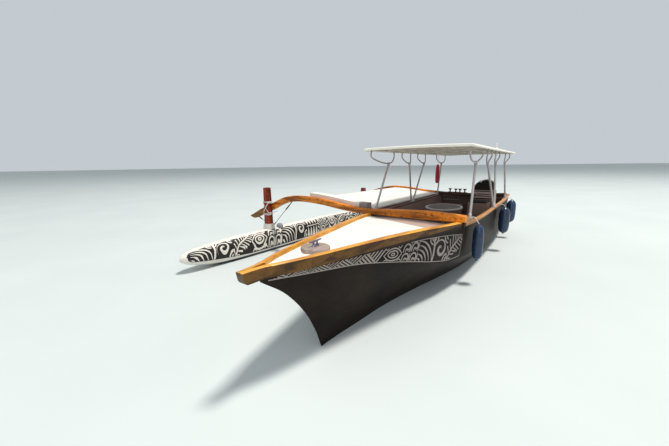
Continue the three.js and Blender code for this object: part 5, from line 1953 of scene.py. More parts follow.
    def float_motifs(self) -> None:
        """Paints the motifs on both sides of the float: light lines on a dark ground."""
        order = [Motifs.moons, Motifs.spiral, Motifs.feather, Motifs.lens, Motifs.waves, Motifs.moons, Motifs.spiral,
                 Motifs.teeth, Motifs.fan, Motifs.lens, Motifs.feather, Motifs.waves, Motifs.moons, Motifs.fan,
                 Motifs.spiral, Motifs.teeth]
        wide, high = 0.45, 0.36
        for side in Side:
            place = self.float_place(side)
            ground = Skin()
            self.float_ground(ground, place)
            finish(ground.made(f"float_ground_{side.word}", 60), FLOAT_INK)
            skin = Skin()
            painter = MotifBand(place, above=0.0024, below=-0.0006, across=4)
            start = 3.20
            for draw in order:
                painter.lay(skin, draw(Motifs(wide, high, 0.082)),
                            lambda x, y, start=start: (start - x, held(y / high, 0.03, 0.97)))
                start -= wide + 0.02
            finish(skin.made(f"float_band_{side.word}", 60), FLOAT_LINES)

    def posts(self) -> None:
        """Dresses the posts and pedestals and lashes each post to its beam."""
        for word, rows, beam_x in (("front", self.front, self.front_x), ("rear", self.rear, self.rear_x)):
            dress(f"ama_pedestal_{word}", FLOAT_WHITE, 0.010)
            self.post(word)
            x = beam_x + self.post_offset
            top = along(rows, 1, self.float_y)
            low = top - along(rows, 2, self.float_y)
            skin = Skin()
            fore, aft = x + self.wrap, beam_x - self.beam_width / 2 - 0.008
            for z in (top + 0.062, top + 0.078, low - 0.052, low - 0.068, low - 0.084):
                half = self.wrap + (1.5 - z) * 0.022
                skin.rope(self.loop(x - self.wrap, fore, -half, half, z, z), self.line, True)
            half = 0.095
            for shift, lean in ((-0.010, 1), (0.010, 1), (0.0, -1)):
                turn = self.loop(aft, fore, -half * lean, half * lean, low - 0.03 + shift, top + 0.05 + shift)
                skin.rope(turn, self.line, True)
            finish(skin.made(f"{word}_lashing", 50), ROPE)

    def post(self, word: str) -> None:
        """Builds a post that narrows to its chamfered top.

        Args:
            word: The post's word in its piece's name.
        """
        low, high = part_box(f"ama_post_{word}")
        x, y = (low.x + high.x) / 2, (low.y + high.y) / 2
        rings = []
        for t in [*steps(0, 0.985, 40), 0.995, 1.0]:
            chamfer = max(0.0, t - 0.985) / 0.015 * 0.010
            half_x = (high.x - low.x) / 2 - chamfer
            half_y = self.post_foot + (self.post_head - self.post_foot) * t - chamfer
            outline = rounded(half_x, half_y, 0.010, 4)
            ring = []
            for i in range(0, 20, 5):
                (ax, ay), (bx, by) = outline[i + 4], outline[(i + 5) % 20]
                ring += outline[i:i + 5]
                ring += [(ax + (bx - ax) * k / 6, ay + (by - ay) * k / 6) for k in range(1, 6)]
            rings.append([Vector((x + a, y + b, low.z + (high.z - low.z) * t)) for a, b in ring])
        finish(Skin().loft(rings).made(f"{word}_post_wood", 50), POST_WOOD,
               replaces=[f"ama_post_{word}"])

    def loop(self, x0: float, x1: float, y0: float, y1: float, z0: float, z1: float) -> list[Vector]:
        """A turn of rope round a post, from height z0 at y0 to z1 at y1.

        Args:
            x0: Its after side.
            x1: Its forward side.
            y0: Its first side.
            y1: Its second side.
            z0: Its height at the first side.
            z1: Its height at the second side.

        Returns:
            The points of the closed turn.
        """
        corners = [(x1, y0, z0), (x1, y1, z1), (x0, y1, z1), (x0, y0, z0)]
        points = []
        for i in range(4):
            a, b, c = (Vector(corners[k % 4]) for k in (i - 1, i, i + 1))
            r = 0.014
            into, out = (b - a).normalized(), (c - b).normalized()
            points += [b - into * r, b + (out - into) * r * 0.3, b + out * r]
        return [p + Vector((0, self.float_y, 0)) for p in points]

    def stays(self) -> None:
        """Builds the stays as wire with a bottle screw and thimbles."""
        for word in ("front", "rear"):
            for end in ("inner", "outer"):
                node = f"stay_{word}_{end}"
                low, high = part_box(node)
                x = (low.x + high.x) / 2
                inner = end == "inner"
                foot = Vector((x, low.y + 0.008 if inner else high.y - 0.008, low.z + 0.012))
                head = Vector((x, high.y - 0.012 if inner else low.y + 0.012, high.z - 0.012))
                skin = Skin()
                skin.rope([foot.lerp(head, t) for t in steps(0, 1, 6)], 0.007)
                a, b = foot.lerp(head, 0.66), foot.lerp(head, 0.88)
                skin.tube([a, a.lerp(b, 0.08), a.lerp(b, 0.1), a.lerp(b, 0.9), a.lerp(b, 0.92), b],
                          [0.009, 0.014, 0.016, 0.016, 0.014, 0.009], 14)
                for spot, toward in ((foot, head), (head, foot)):
                    thimble = [spot, spot.lerp(toward, 0.05), spot.lerp(toward, 0.12)]
                    skin.tube(thimble, [0.0085, 0.013, 0.0085], 12)
                finish(skin.made(f"{node}_wire", 40), STAY_STEEL, replaces=[node])

    def platform(self) -> None:
        """Dresses the platform, its board and the corner block, and builds the ledger under the platform's inner edge
        in the cap's painted shade.
        """
        dress("platform", DECK_WHITE, 0.006)
        dress("platform_board", DECK_WHITE, 0.010)
        dress("corner_block", BLOCK_GREY, 0.018)
        rings = []
        for x in steps(0.58, -3.50, 24):
            share = (x - self.rear_x) / (self.front_x - self.rear_x)
            beams = along(self.front, 1, -1.0) * share + along(self.rear, 1, -1.0) * (1 - share)
            top = beams - self.platform_step - self.platform_thick
            rings.append([Vector((x, y, z)) for y, z in
                          ((-1.022, 1.078), (-0.994, 1.078), (-0.994, top - 0.004), (-0.996, top - 0.001),
                           (-1.022, top - 0.001))])
        # The ledger fills the gap at the starboard cap in the same painted shade
        finish(Skin().loft(rings).made("platform_ledger", 40), SHADED_CAP)

    def vent(self) -> None:
        """Builds the small round vent on the float behind the front post."""
        x = 0.80
        profile = [(0.0, -0.03), (0.085, -0.03), (0.085, 0.012), (0.080, 0.040), (0.062, 0.068), (0.036, 0.084),
                   (0.012, 0.090), (0.0, 0.0905)]
        spot = Vector((x, self.float_y + 0.08, along(self.hull, 2, x)))
        finish(Skin().turned(profile, spot).made("float_vent", 50), VENT_GREY)

    def build(self) -> None:
        """Builds the outrigger."""
        self.beams()
        self.float_hull()
        self.float_motifs()
        self.posts()
        self.stays()
        self.platform()
        self.vent()


@dataclass
class Awning:
    """The awning's legs with their arms, its frame of pipes and its cloth."""

    front: float = 1.000
    rear: float = -4.350
    half: float = 0.960
    top: float = 2.355
    drop: float = 0.040
    crown: float = 0.016
    cloth: float = 0.010
    arm_z: float = 2.090
    plate: Pair = (0.045, 0.038)
    head_y: float = 0.840
    tube: float = 0.021
    pipe: float = 0.014
    # The turn at the cloth's edge, and its own thickness
    bend: float = 0.018
    thick: float = 0.0014
    # How far the cloth stays inside the awning's outline and over its lower edge, its hem and its sag
    inside: float = 0.002
    over_edge: float = 0.004
    hem: float = 0.0045
    slack: float = 0.005
    # name, each leg's foot x, head x, fore reach, aft reach
    legs: list[tuple[str, list[tuple[float, ...]]]] = field(default_factory=lambda: [
        ("front", [(.620, .210, .640, -.330)]),
        ("middle", [(-1.340, -.880, .330, -.150), (-1.460, -1.830, .330, -.200)]),
        ("rear", [(-3.330, -3.290, .330, -.480)])])
    cross: tuple[float, ...] = (.960, .210, -.335, -.880, -1.830, -2.600, -3.290, -3.800, -4.310)

    @property
    def rail_y(self) -> float:
        """How far out the side pipes lie."""
        return self.head_y + 0.042

    @property
    def pipe_z(self) -> float:
        """The side pipes' height."""
        return self.top - 0.002

    def crown_at(self, y: float) -> float:
        """The cloth's crown at y."""
        return self.crown * (1 - (y / self.half)**2)

    def pipe_at(self, y: float) -> float:
        """A pipe's height at y."""
        return self.pipe_z + self.crown_at(y) - self.crown_at(self.rail_y)

    def foot(self, x: float, side: Side) -> Vector:
        """The middle of the gunwale cap's top at x."""
        return Vector((x, side.value * (LINES.cap_outer(x) - LINES.cap_width / 2), LINES.cap_top(x) + GAP))

    def stand(self) -> None:
        """Builds the legs with their arms, collars and feet."""
        for side in Side:
            for word, legs in self.legs:
                skin = Skin()
                for leg in legs:
                    self.leg(skin, side, *leg)
                xs = [leg[0] for leg in legs]
                low, high = min(xs) - self.plate[0], max(xs) + self.plate[0]
                spot = self.foot((low + high) / 2, side)
                y, z, reach = spot.y, spot.z, self.plate[1]
                skin.block((low, y - reach, z - 0.001), (high, y + reach, z + 0.012))
                name = f"awning_leg_{side.word}_{word}"
                obj = skin.made(f"{name}_tube", 40)
                round_edges(obj, 0.003, 2, 60)
                finish(obj, LEG_PAINT, replaces=[name])
                self.screws(f"{name}_screws", low, high, y, z + 0.012)

    def leg(self, skin: Skin, side: Side, foot_x: float, head_x: float, fore: float, aft: float) -> None:
        """Adds one leg with its collar, its socket and its two arms.

        Args:
            skin: What it is added to.
            side: Its side.
            foot_x: Where its foot stands.
            head_x: Where its head is.
            fore: The forward arm's reach.
            aft: The after arm's reach.
        """
        s = side.value
        foot = self.foot(foot_x, side) + Vector((0, 0, 0.006))
        head = Vector((head_x, s * self.head_y, self.arm_z))
        skin.tube([foot.lerp(head, t) for t in steps(0, 1, 4)], self.tube, 20)
        collar = [(-0.052, .022), (-0.050, .026), (-0.046, .028), (0.026, .028), (0.030, .026), (0.032, .02)]
        skin.tube([head + Vector((0, 0, z)) for z, _ in collar], [r for _, r in collar], 20)
        for reach in (fore, aft):
            points = [(head_x, s * self.head_y, self.arm_z),
                      (head_x + reach * 0.55, s * (self.head_y + 0.010), self.arm_z + 0.040),
                      (head_x + reach, s * (self.rail_y - 0.002), self.arm_z + 0.130),
                      (head_x + reach, s * self.rail_y, self.pipe_z - self.pipe)]
            skin.tube(smooth_path(points, 10), self.pipe, 14)
            top = Vector(points[-1])
            skin.tube([top + Vector((0, 0, z)) for z in (-0.03, -0.028, -0.004, -0.001)],
                      [0.015, 0.018, 0.018, 0.016], 14)
        socket = foot + (head - foot).normalized() * 0.07
        skin.tube([foot, foot.lerp(socket, 0.9), socket], [0.027, 0.027, 0.022], 20)

    def screws(self, name: str, low: float, high: float, y: float, z: float) -> None:
        """Puts four round-headed screws in a foot plate.

        Args:
            name: The piece's name.
            low: The plate's after end.
            high: Its forward end.
            y: Its middle line.
            z: Its top.
        """
        skin = Skin()
        for x in (low + 0.016, high - 0.016):
            for dy in (-0.026, 0.026):
                skin.turned([(0, -0.002), (0.0065, -0.002), (0.006, 0.0015), (0.003, 0.0034), (0, 0.0038)],
                            Vector((x, y + dy, z)), sides=14)
        finish(skin.made(name), STEEL)

    def grid(self) -> None:
        """Builds the frame of pipes under the cloth."""
        inner = self.half - self.cloth
        ys = [-self.rail_y, -inner / 2, 0.0, inner / 2, self.rail_y]
        skin = Skin()
        for y in ys:
            xs = steps(self.cross[0], self.cross[-1], 8)
            skin.tube([Vector((x, y, self.pipe_at(y))) for x in xs], self.pipe, 14)
        for x in self.cross:
            skin.tube([Vector((x, y, self.pipe_at(y))) for y in steps(ys[0], ys[-1], 16)], self.pipe, 14)
            for y in ys:
                spot = Vector((x, y, self.pipe_at(y)))
                skin.tube([spot + Vector((d, 0, 0)) for d in (-0.03, -0.026, 0.026, 0.03)],
                          [0.0145, 0.0165, 0.0165, 0.0145], 14)
        finish(skin.made("awning_pipes", 50), PIPE_PAINT, replaces=["awning_frame"])

    def sheet(self) -> None:
        """Builds the cloth: one sheet, sagging a little between the pipes, turned down all round."""
        base = self.pipe_z + self.pipe + self.cloth - self.crown_at(self.rail_y)
        reach = self.drop - self.over_edge
        half_x, half_y = (self.front - self.rear) / 2 - self.inside, self.half - self.inside
        mid_x = (self.front + self.rear) / 2
        rings = []
        for a in self.spread(half_x, reach, 120):
            upper, lower = [], []
            for b in self.spread(half_y, reach, 48):
                (dx, zx), (y, zy) = self.turned_down(a, half_x), self.turned_down(b, half_y)
                x = mid_x + dx
                point = Vector((x, y, base + self.crown_at(y) - max(zx, zy) - self.sag(x, y)))
                upper.append(point)
                lower.append(point - Vector((math.copysign(self.thick, dx) if zx > 0 else 0,
                                             math.copysign(self.thick, y) if zy > 0 else 0, self.thick)))
            rings.append([*upper, *reversed(lower)])
        cloth = Skin().loft(rings).made("awning_sheet", 60)
        finish(cloth, AWNING, replaces=["awning_cloth"])
        z = base - reach + self.bend * (math.pi / 2 - 1)
        edge = [Vector((mid_x + x, y, z)) for x, y in rounded(half_x, half_y, 0.03, 5)]
        hem = finish(Skin().tube(edge, self.hem, 8, True).made("awning_hem", 60), AWNING)

    def spread(self, half: float, reach: float, count: int) -> list[float]:
        """Places across the flat cloth, close together where it turns down.

        Args:
            half: The awning's half width.
            reach: How far the cloth goes on past it.
            count: The steps between the turns.

        Returns:
            The places.
        """
        flat = half - self.bend
        edge = steps(flat, half + reach, 10)
        return [-v for v in reversed(edge)] + steps(-flat, flat, count)[1:-1] + edge

    def turned_down(self, flat: float, half: float) -> Pair:
        """Where a place on the flat cloth lies across it, and how far it hangs down.

        Args:
            flat: The place on the flat.
            half: The awning's half width.

        Returns:
            The place across and the drop.
        """
        bend = self.bend
        over = abs(flat) - (half - bend)
        if over <= 0:
            return flat, 0.0
        quarter_turn = bend * math.pi / 2
        if over < quarter_turn:
            a = over / bend
            return math.copysign(half - bend + bend * math.sin(a), flat), bend * (1 - math.cos(a))
        return math.copysign(half, flat), bend + over - quarter_turn

    def sag(self, x: float, y: float) -> float:
        """How far the cloth sags between its pipes.

        Args:
            x: The place along the awning.
            y: The place across it.

        Returns:
            The drop.
        """
        for high, low in zip(self.cross, self.cross[1:]):
            if low <= x <= high:
                span = math.sin(math.pi * (x - low) / (high - low))
                inner = (self.half - self.cloth) / 2
                side = abs(math.sin(math.pi * y / inner)) if abs(y) < inner * 1.86 else 0.0
                return self.slack * span * side
        return 0.0

    def build(self) -> None:
        """Builds the awning and the light on it."""
        self.stand()
        self.grid()
        self.sheet()
        low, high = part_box("roof_light")
        centre = Vector(((low.x + high.x) / 2, (low.y + high.y) / 2, low.z))
        h = high.z - low.z
        profile = [(0, 0), (.034, 0), (.034, .008), (.030, .03), (.012, .042), (.010, h - .05), (.018, h - .046),
                   (.020, h - .02), (.014, h - .006), (0, h)]
        light = Skin().turned(profile, centre).made("roof_light_lamp", 40)
        finish(light, FLOAT_WHITE, replaces=["roof_light"])


@dataclass
class Cushion:
    """One padded cushion that is blown up by a cloth simulation, with a welt round its top."""

    name: str
    outline: list[Pair]
    low: float
    high: float
    look: Finish
    node: str | None
    edge: float = 0.020
    cap: float = 0.010
    voxel: float = 0.011
    frames: int = 20
    fullness: float = 0.75
    pressure: float = 4.0
    stiffness: float = 20.0
    bending: float = 0.6
    # The welt's radius, and how far in and under the cushion's top it lies
    welt: float = 0.0042
    welt_in: float = 0.010
    welt_under: float = 0.022

    def base(self) -> bpy.types.Object:
        """Builds the cushion before it is filled: the outline with rounded edges.

        Returns:
            The cushion.
        """
        r, foot, top = self.edge, self.low + 0.001, self.high - 0.012
        shape = [(r, foot)]
        shape += [(r - r * math.sin(a), foot + 0.6 * r * (1 - math.cos(a))) for a in steps(0, math.pi / 2, 3)]
        shape += [(r - r * math.cos(a), top - r + r * math.sin(a)) for a in steps(0, math.pi / 2, 4)]
        rings = [[Vector((*p, z)) for p in self.inwards(inset + 0.004)] for inset, z in shape]
        return Skin().loft(rings).made(self.name, 60)

    def refined(self) -> list[Pair]:
        """The outline with points every few centimetres.

        Returns:
            Its points.
        """
        made = []
        for (ax, ay), (bx, by) in zip(self.outline, [*self.outline[1:], self.outline[0]]):
            count = max(1, round(math.hypot(bx - ax, by - ay) / 0.03))
            made += [(ax + (bx - ax) * k / count, ay + (by - ay) * k / count) for k in range(count)]
        return made

    def inwards(self, inset: float) -> list[Pair]:
        """The outline with fine points, moved in along each direction.

        Args:
            inset: How far it is moved in.

        Returns:
            Its points.
        """
        middles, reaches = [], []
        for k in (0, 1):
            values = [p[k] for p in self.outline]
            middles.append(sum(values) / len(values))
            reaches.append((max(values) - min(values)) / 2)
        return [tuple(m + (v - m) * max(0.0, 1 - inset / r) for v, m, r in zip(p, middles, reaches))
                for p in self.refined()]

    def fill(self, obj: bpy.types.Object) -> None:
        """Blows the cushion up, and holds how far it may move.

        Args:
            obj: The cushion.
        """
        remesh = obj.modifiers.new("even", "REMESH")
        remesh.mode = "VOXEL"
        remesh.voxel_size = self.voxel
        settle(obj)
        rest = [v.co.copy() for v in obj.data.vertices]
        cloth = obj.modifiers.new("filling", "CLOTH")
        settings = cloth.settings
        settings.use_pressure = True
        settings.uniform_pressure_force = self.pressure
        settings.effector_weights.gravity = 0.0
        settings.quality = 4
        settings.tension_stiffness = settings.compression_stiffness = self.stiffness
        settings.bending_stiffness = self.bending
        cloth.point_cache.frame_start = 1
        cloth.point_cache.frame_end = self.frames
        scene = bpy.context.scene
        for step in range(1, self.frames + 1):
            scene.frame_set(step)
            obj.evaluated_get(bpy.context.evaluated_depsgraph_get())
        settle(obj)
        for vertex, before in zip(obj.data.vertices, rest):
            move = vertex.co - before
            share = min(1.0, self.cap / move.length) if move.length > 0 else 1.0
            vertex.co = before + move * share
            vertex.co.z = min(max(vertex.co.z, self.low + 0.0008), self.high + 0.004)
        scene.frame_set(1)
        smooth(obj, 70)

    def build(self) -> None:
        """Builds the cushion and its welt."""
        obj = self.base()
        self.fill(obj)
        fine = obj.modifiers.new("fine", "SUBSURF")
        fine.levels = fine.render_levels = 1
        finish(obj, self.look, replaces=[self.node] if self.node else [])
        line = [Vector((*p, self.high - self.welt_under)) for p in self.inwards(self.welt_in)]
        welt = Skin().tube(line, self.welt, 8, True).made(f"{self.name}_welt", 60)
        finish(welt, self.look)


@dataclass
class Cockpit:
    """The benches, the table, the helm and their cushions."""

    bench_front: float = 0.560
    bench_rear: float = -1.900
    bench_inner: float = 0.436
    bench_top: float = 0.690
    cushion: float = 0.070
    # Half the joint between two cushions
    joint: float = 0.006
    console_y: float = 0.5
    # The x of the console's after face, and how far that leans forward over what height
    console_back: float = -2.9
    lean: Pair = (0.08, 0.21)
    # From where to where the door, the panel's frame and the panel reach up
    door_z: Pair = (0.42, 0.96)
    frame_z: Pair = (1.165, 1.372)
    panel_z: Pair = (1.190, 1.350)
    pod_back: float = -2.8105
    # The wheel's radius, its height, and how far up the leaning face it sits
    wheel_radius: float = 0.19
    wheel_z: float = 1.25
    wheel_up: float = 0.07

    def side_cushions(self) -> None:
        """Builds three cushions along each side bench."""
        xs = steps(self.bench_front, self.bench_rear, 3)
        for side in Side:
            s = side.value
            for i, (start, end) in enumerate(zip(xs, xs[1:])):
                start, end = start - self.joint, end + self.joint
                z = self.bench_top + self.cushion / 2
                outer = [(x, s * (LINES.inner_half(x, z) - 0.018)) for x in steps(start, end, 5)]
                outline = [(end, s * self.bench_inner), (start, s * self.bench_inner), *outer]
                node = f"cushion_{side.word}" if i == 0 else None
                Cushion(f"side_cushion_{side.word}_{i + 1}", outline, self.bench_top + GAP,
                        self.bench_top + self.cushion, TAUPE_VINYL, node).build()

    def box_cushion(self, node: str) -> None:
        """Builds the cushion of a box-shaped node.

        Args:
            node: The node's name.
        """
        low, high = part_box(node)
        outline = [(low.x, low.y), (high.x, low.y), (high.x, high.y), (low.x, high.y)]
        Cushion(f"{node}_pad", outline, low.z, high.z, BLACK_VINYL, node).build()

    def table(self) -> None:
        """Builds the oval table with its pale rim, and its leg."""
        low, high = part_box("table_top")
        centre = (low + high) / 2
        rx, ry = (high.x - low.x) / 2, (high.y - low.y) / 2
        shapes = [(-0.05, low.z), (-0.006, low.z), (0.0, low.z + 0.006), (0.0, high.z - 0.006), (-0.006, high.z),
                  (-0.044, high.z), (-0.046, high.z - 0.0025)]
        rings = [[Vector((centre.x + x, centre.y + y, z)) for x, y in oval(rx + grow, ry + grow, 96)]
                 for grow, z in shapes]
        finish(Skin().loft(rings).made("table_rim", 40), RIM_WHITE, replaces=["table_top"])
        outline = [(centre.x + x, centre.y + y) for x, y in oval(rx - 0.0462, ry - 0.0462, 96)]
        inlay = Skin().slab(outline, high.z - 0.0024, high.z - 0.0008).made("table_inlay", 40)
        finish(inlay, GREY_TOP)
        foot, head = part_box("table_leg")
        spot, h = Vector((centre.x, centre.y, foot.z)), head.z - foot.z
        profile = [(0, 0), (.170, 0), (.170, .006), (.160, .016), (.080, .030), (.044, .060), (.036, .100),
                   (.036, h - .090), (.044, h - .060), (.118, h - .006), (.118, h), (0, h)]
        finish(Skin().turned(profile, spot, sides=48).made("table_column", 35), STEEL,
               replaces=["table_leg"])

    def helm(self) -> None:
        """Dresses the console, and builds its door, its panel, its pod and the dials."""
        dress("helm_console", INSIDE, 0.016)
        low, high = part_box("helm_console")
        x = high.x
        (z0, z1), (z2, z3), (z4, z5) = self.door_z, self.frame_z, self.panel_z
        door = Skin().block((x - 0.002, low.y + 0.06, z0), (x + 0.006, high.y - 0.06, z1))
        door = door.made("console_door")
        round_edges(door, 0.004, 2)
        finish(door, INSIDE)
        rim = Skin().block((x - 0.002, low.y + 0.012, z2), (x + 0.006, high.y - 0.012, z3))
        panel = Skin().block((x + 0.004, low.y + 0.045, z4), (x + 0.0095, high.y - 0.030, z5))
        bars = Skin()
        for z in (1.235, 1.285):
            bars.block((x + 0.008, low.y + 0.15, z), (x + 0.020, high.y - 0.05, z + 0.018))
        knob = Vector((x + 0.008, low.y + 0.10, 1.26))
        bars.tube([knob + Vector((0.012, a, b)) for a, b in oval(0.022, 0.022, 24)], 0.005, 8, True)
        bars.turned([(0, 0), (0.012, 0), (0.010, 0.014), (0, 0.016)], knob, AHEAD, 16)
        for piece, name, look in ((rim, "console_frame", BLACK), (panel, "console_panel", PANEL),
                                  (bars, "console_trim", BLACK)):
            obj = piece.made(name, 40)
            round_edges(obj, 0.002, 2, 60)
            finish(obj, look)
        self.pod()
        self.dials()

    def pod(self) -> None:
        """Builds the rounded pod on the console, its horns and its grab rail."""
        foot = 1.37
        rows = [(-2.525, .240, 1.450), (-2.57, .254, 1.530), (-2.66, .258, 1.610), (-2.76, .250, 1.645),
                (-2.81, .236, 1.640)]
        rings = []
        for x in steps(rows[0][0], rows[-1][0], 16):
            half, top = along(rows, 1, x), along(rows, 2, x)
            ring = []
            for a in steps(0, math.pi, 36):
                y, z = superoval(a, 0.7)
                ring.append(Vector((x, self.console_y + half * y,
                                    foot + (top - foot) * z * (1 + 0.16 * math.cos(a)))))
            rings.append(ring)
        pod = Skin().loft(rings).made("helm_pod", 40)
        round_edges(pod, 0.006, 2, 50)
        finish(pod, BLACK, replaces=["helm_hood"])
        horns = Skin()
        for y, z in ((0.42, 1.585), (0.60, 1.640)):
            horns.turned([(0, -0.03), (0.010, -0.03), (0.012, 0.01), (0.020, 0.028), (0.034, 0.040), (0.030, 0.041),
                          (0, 0.022)], Vector((-2.62, y, z)), Vector((0.75, 0, 0.66)), 20)
        bow = [(y, 1.58 + 0.075 * math.sin(math.pi * (y - 0.36) / 0.38)) for y in steps(0.36, 0.74, 14)]
        horns.tube([Vector((-2.66, y, z)) for y, z in bow], 0.009, 10)
        finish(horns.made("pod_fittings", 40), STEEL)

    def dials(self) -> None:
        """Puts four round dials and a screen on the pod's after face."""
        faces, rims, x = Skin(), Skin(), self.pod_back
        for y, z, r in ((0.37, 1.53, 0.036), (0.64, 1.55, 0.038), (0.36, 1.445, 0.028), (0.64, 1.455, 0.03)):
            spot = Vector((x, y, z))
            rim, face = r + 0.006, r - 0.001
            rims.turned([(0, 0), (rim, 0), (rim, 0.006), (r, 0.008), (r, 0.005), (0, 0.005)], spot, -AHEAD)
            faces.turned([(0, 0.0052), (face, 0.0052), (face, 0.0062), (0, 0.0062)], spot, -AHEAD)
        finish(rims.made("dial_rims"), STEEL)
        finish(faces.made("dial_faces"), DIAL)
        screen = Skin().block((x - 0.008, 0.43, 1.42), (x + 0.002, 0.57, 1.56)).made("helm_screen")
        round_edges(screen, 0.006, 3)
        finish(screen, SCREEN)

    def wheel(self) -> None:
        """Builds the steering wheel with a gripped rim and three spokes."""
        forward, height = self.lean
        axis = Vector((-height, 0.0, forward)).normalized()
        face = Vector((self.console_back + forward * self.wheel_up / height, self.console_y, self.wheel_z))
        centre = face + axis * 0.07
        spin = UP.rotation_difference(axis)
        skin = Skin()
        ring = [centre + spin @ Vector((x, y, 0)) for x, y in oval(self.wheel_radius, self.wheel_radius, 96)]
        radii = [0.0145 + 0.0009 * math.cos(24 * a) for a in steps(0, math.tau, 96)[:-1]]
        skin.tube(ring, radii, 16, True)
        for i in range(3):
            a = math.tau * i / 3 + math.pi / 2
            ends = [centre + spin @ Vector((r * math.cos(a), r * math.sin(a), z)) for r, z in
                    ((0.02, -0.006), (0.09, -0.008), (0.15, -0.006), (0.185, -0.002))]
            skin.tube(ends, [0.010, 0.008, 0.007, 0.008], 12)
        skin.turned([(0, -0.062), (0.014, -0.062), (0.014, -0.02), (0.036, -0.015), (0.038, 0.0), (0.032, 0.012),
                     (0.012, 0.016), (0, 0.016)], centre, axis, 40)
        finish(skin.made("wheel_rim", 40), BLACK, "wheel", ["helm_wheel"])

    def holders(self) -> None:
        """Builds the row of flared rod holders on the rear beam."""
        skin, rows, x = Skin(), Outrigger().rear, Outrigger().rear_x
        for y in (-0.614, -0.445, -0.325, -0.185):
            base = Vector((x, y, along(rows, 1, y)))
            skin.turned([(0, .002), (.024, .002), (.024, .012), (.018, .018), (.018, .074), (.030, .082), (.056, .112),
                         (.057, .118), (.050, .118), (.028, .086), (0, .084)], base, sides=28)
        rings = []
        for y in steps(-0.68, -0.12, 16):
            z = along(rows, 1, y)
            rings.append([Vector((x + dx, y, z + dz)) for dx, dz in
                          ((-.040, .001), (.040, .001), (.040, .012), (.036, .016), (-.036, .016), (-.040, .012))])
        skin.loft(rings)
        finish(skin.made("holder_rack", 40), BLACK, replaces=["rod_holders"])

    def build(self) -> None:
        """Builds the cockpit."""
        self.side_cushions()
        for node in ("rear_cushion", "console_cushion", "helm_cushion"):
            self.box_cushion(node)
        for node in ("bench_port", "bench_starboard", "rear_bench", "rear_back", "console_seat", "helm_seat"):
            dress(node, INSIDE, 0.008)
        # The aft bulkhead is painted darker as shade
        dress("aft_bulkhead", BULKHEAD_SHADE, 0.006)
        low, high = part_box("aft_bulkhead")
        studs = Skin()
        for y in steps(-0.80, -0.36, 7):
            studs.turned([(0, -0.001), (0.013, -0.001), (0.012, 0.006), (0.007, 0.011), (0, 0.012)],
                         Vector((high.x, y, 0.985)), AHEAD, 16)
        finish(studs.made("bulkhead_studs", 50), STEEL)
        self.table()
        self.helm()
        self.wheel()
        self.holders()


@dataclass
class Fender:
    """One inflated fender on its lanyard."""

    number: int
    x: float
    top: float
    radius: float
    length: float = 0.640
    # The gap to the cap, the lanyard's radius and how far over the cap its middle line lies
    gap: float = 0.008
    rope: float = 0.006
    rope_over: float = 0.0062

    def build(self) -> None:
        """Builds the fender and its lanyard."""
        cap_y = LINES.cap_outer(self.x)
        y = cap_y + self.gap + self.radius
        shares = [(.30, .020), (.49, .034), (.70, .056), (.84, .088), (.94, .140), (1, .220), (1, .330), (1, .440),
                  (.93, .515), (.82, .560), (.66, .592), (.45, .613), (.30, .624)]
        profile = [(0, 0), (.020, 0), (.023, .004), (.0235, .014)]
        profile += [(max(.0235, share * self.radius), z) for share, z in shares]
        profile += [(.0235, .630), (.022, .638), (.018, self.length), (0, self.length)]
        spot = Vector((self.x, y, self.top - self.length))
        body = Skin().turned(profile, spot, sides=48).made(f"fender_{self.number}_body", 60)
        finish(body, FENDER_BLUE, replaces=[f"fender_{self.number}"])
        over = LINES.cap_top(self.x) + self.rope_over
        route = [(y, self.top - 0.008), (y - 0.030, self.top + 0.040), (cap_y + 0.026, over - 0.006),
                 (cap_y - 0.010, over + 0.003), (cap_y - 0.034, over), (cap_y - 0.066, over)]
        path = smooth_path([(self.x, ry, rz) for ry, rz in route], 6)
        rope = Skin().rope(path, self.rope).made(f"fender_{self.number}_lanyard", 60)
        finish(rope, ROPE)


@dataclass
class RedBag:
    """The red bag that hangs from the awning."""

    folds: int = 7
    high: float = 0.560

    def build(self) -> None:
        """Builds the bag as a gathered, sagging shell with its cord."""
        low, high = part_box("red_bag")
        centre = (low + high) / 2
        rows = [(1.0, .014), (.985, .028), (.95, .034), (.88, .043), (.74, .051), (.56, .057), (.34, .061),
                (.14, .058), (.05, .048), (.012, .026), (0.0, .004)]
        rings = []
        for t in steps(0, 1, 44):
            radius = 0.92 * along(rows, 1, t)
            depth = 0.16 * min(1.0, t * 4) * min(1.0, (1 - t) * 5 + 0.3)
            ring = []
            for a in steps(0, math.tau, 56)[:-1]:
                ripple = 0.6 + 0.4 * math.sin(2 * a + 5 * t)
                ripple = 1 + depth * math.sin(self.folds * a + 3.0 * t) * ripple
                ring.append(Vector((centre.x + radius * ripple * math.cos(a),
                                    centre.y + radius * ripple * math.sin(a), low.z + self.high * t)))
            rings.append(ring)
        bag = Skin().loft(rings).made("red_bag_cloth", 70)
        finish(bag, RED_CLOTH, replaces=["red_bag"])
        line = [Vector((centre.x, centre.y, z)) for z in steps(low.z + self.high - 0.02, high.z - 0.002, 4)]
        finish(Skin().rope(line, 0.0045).made("red_bag_cord", 60), ROPE)


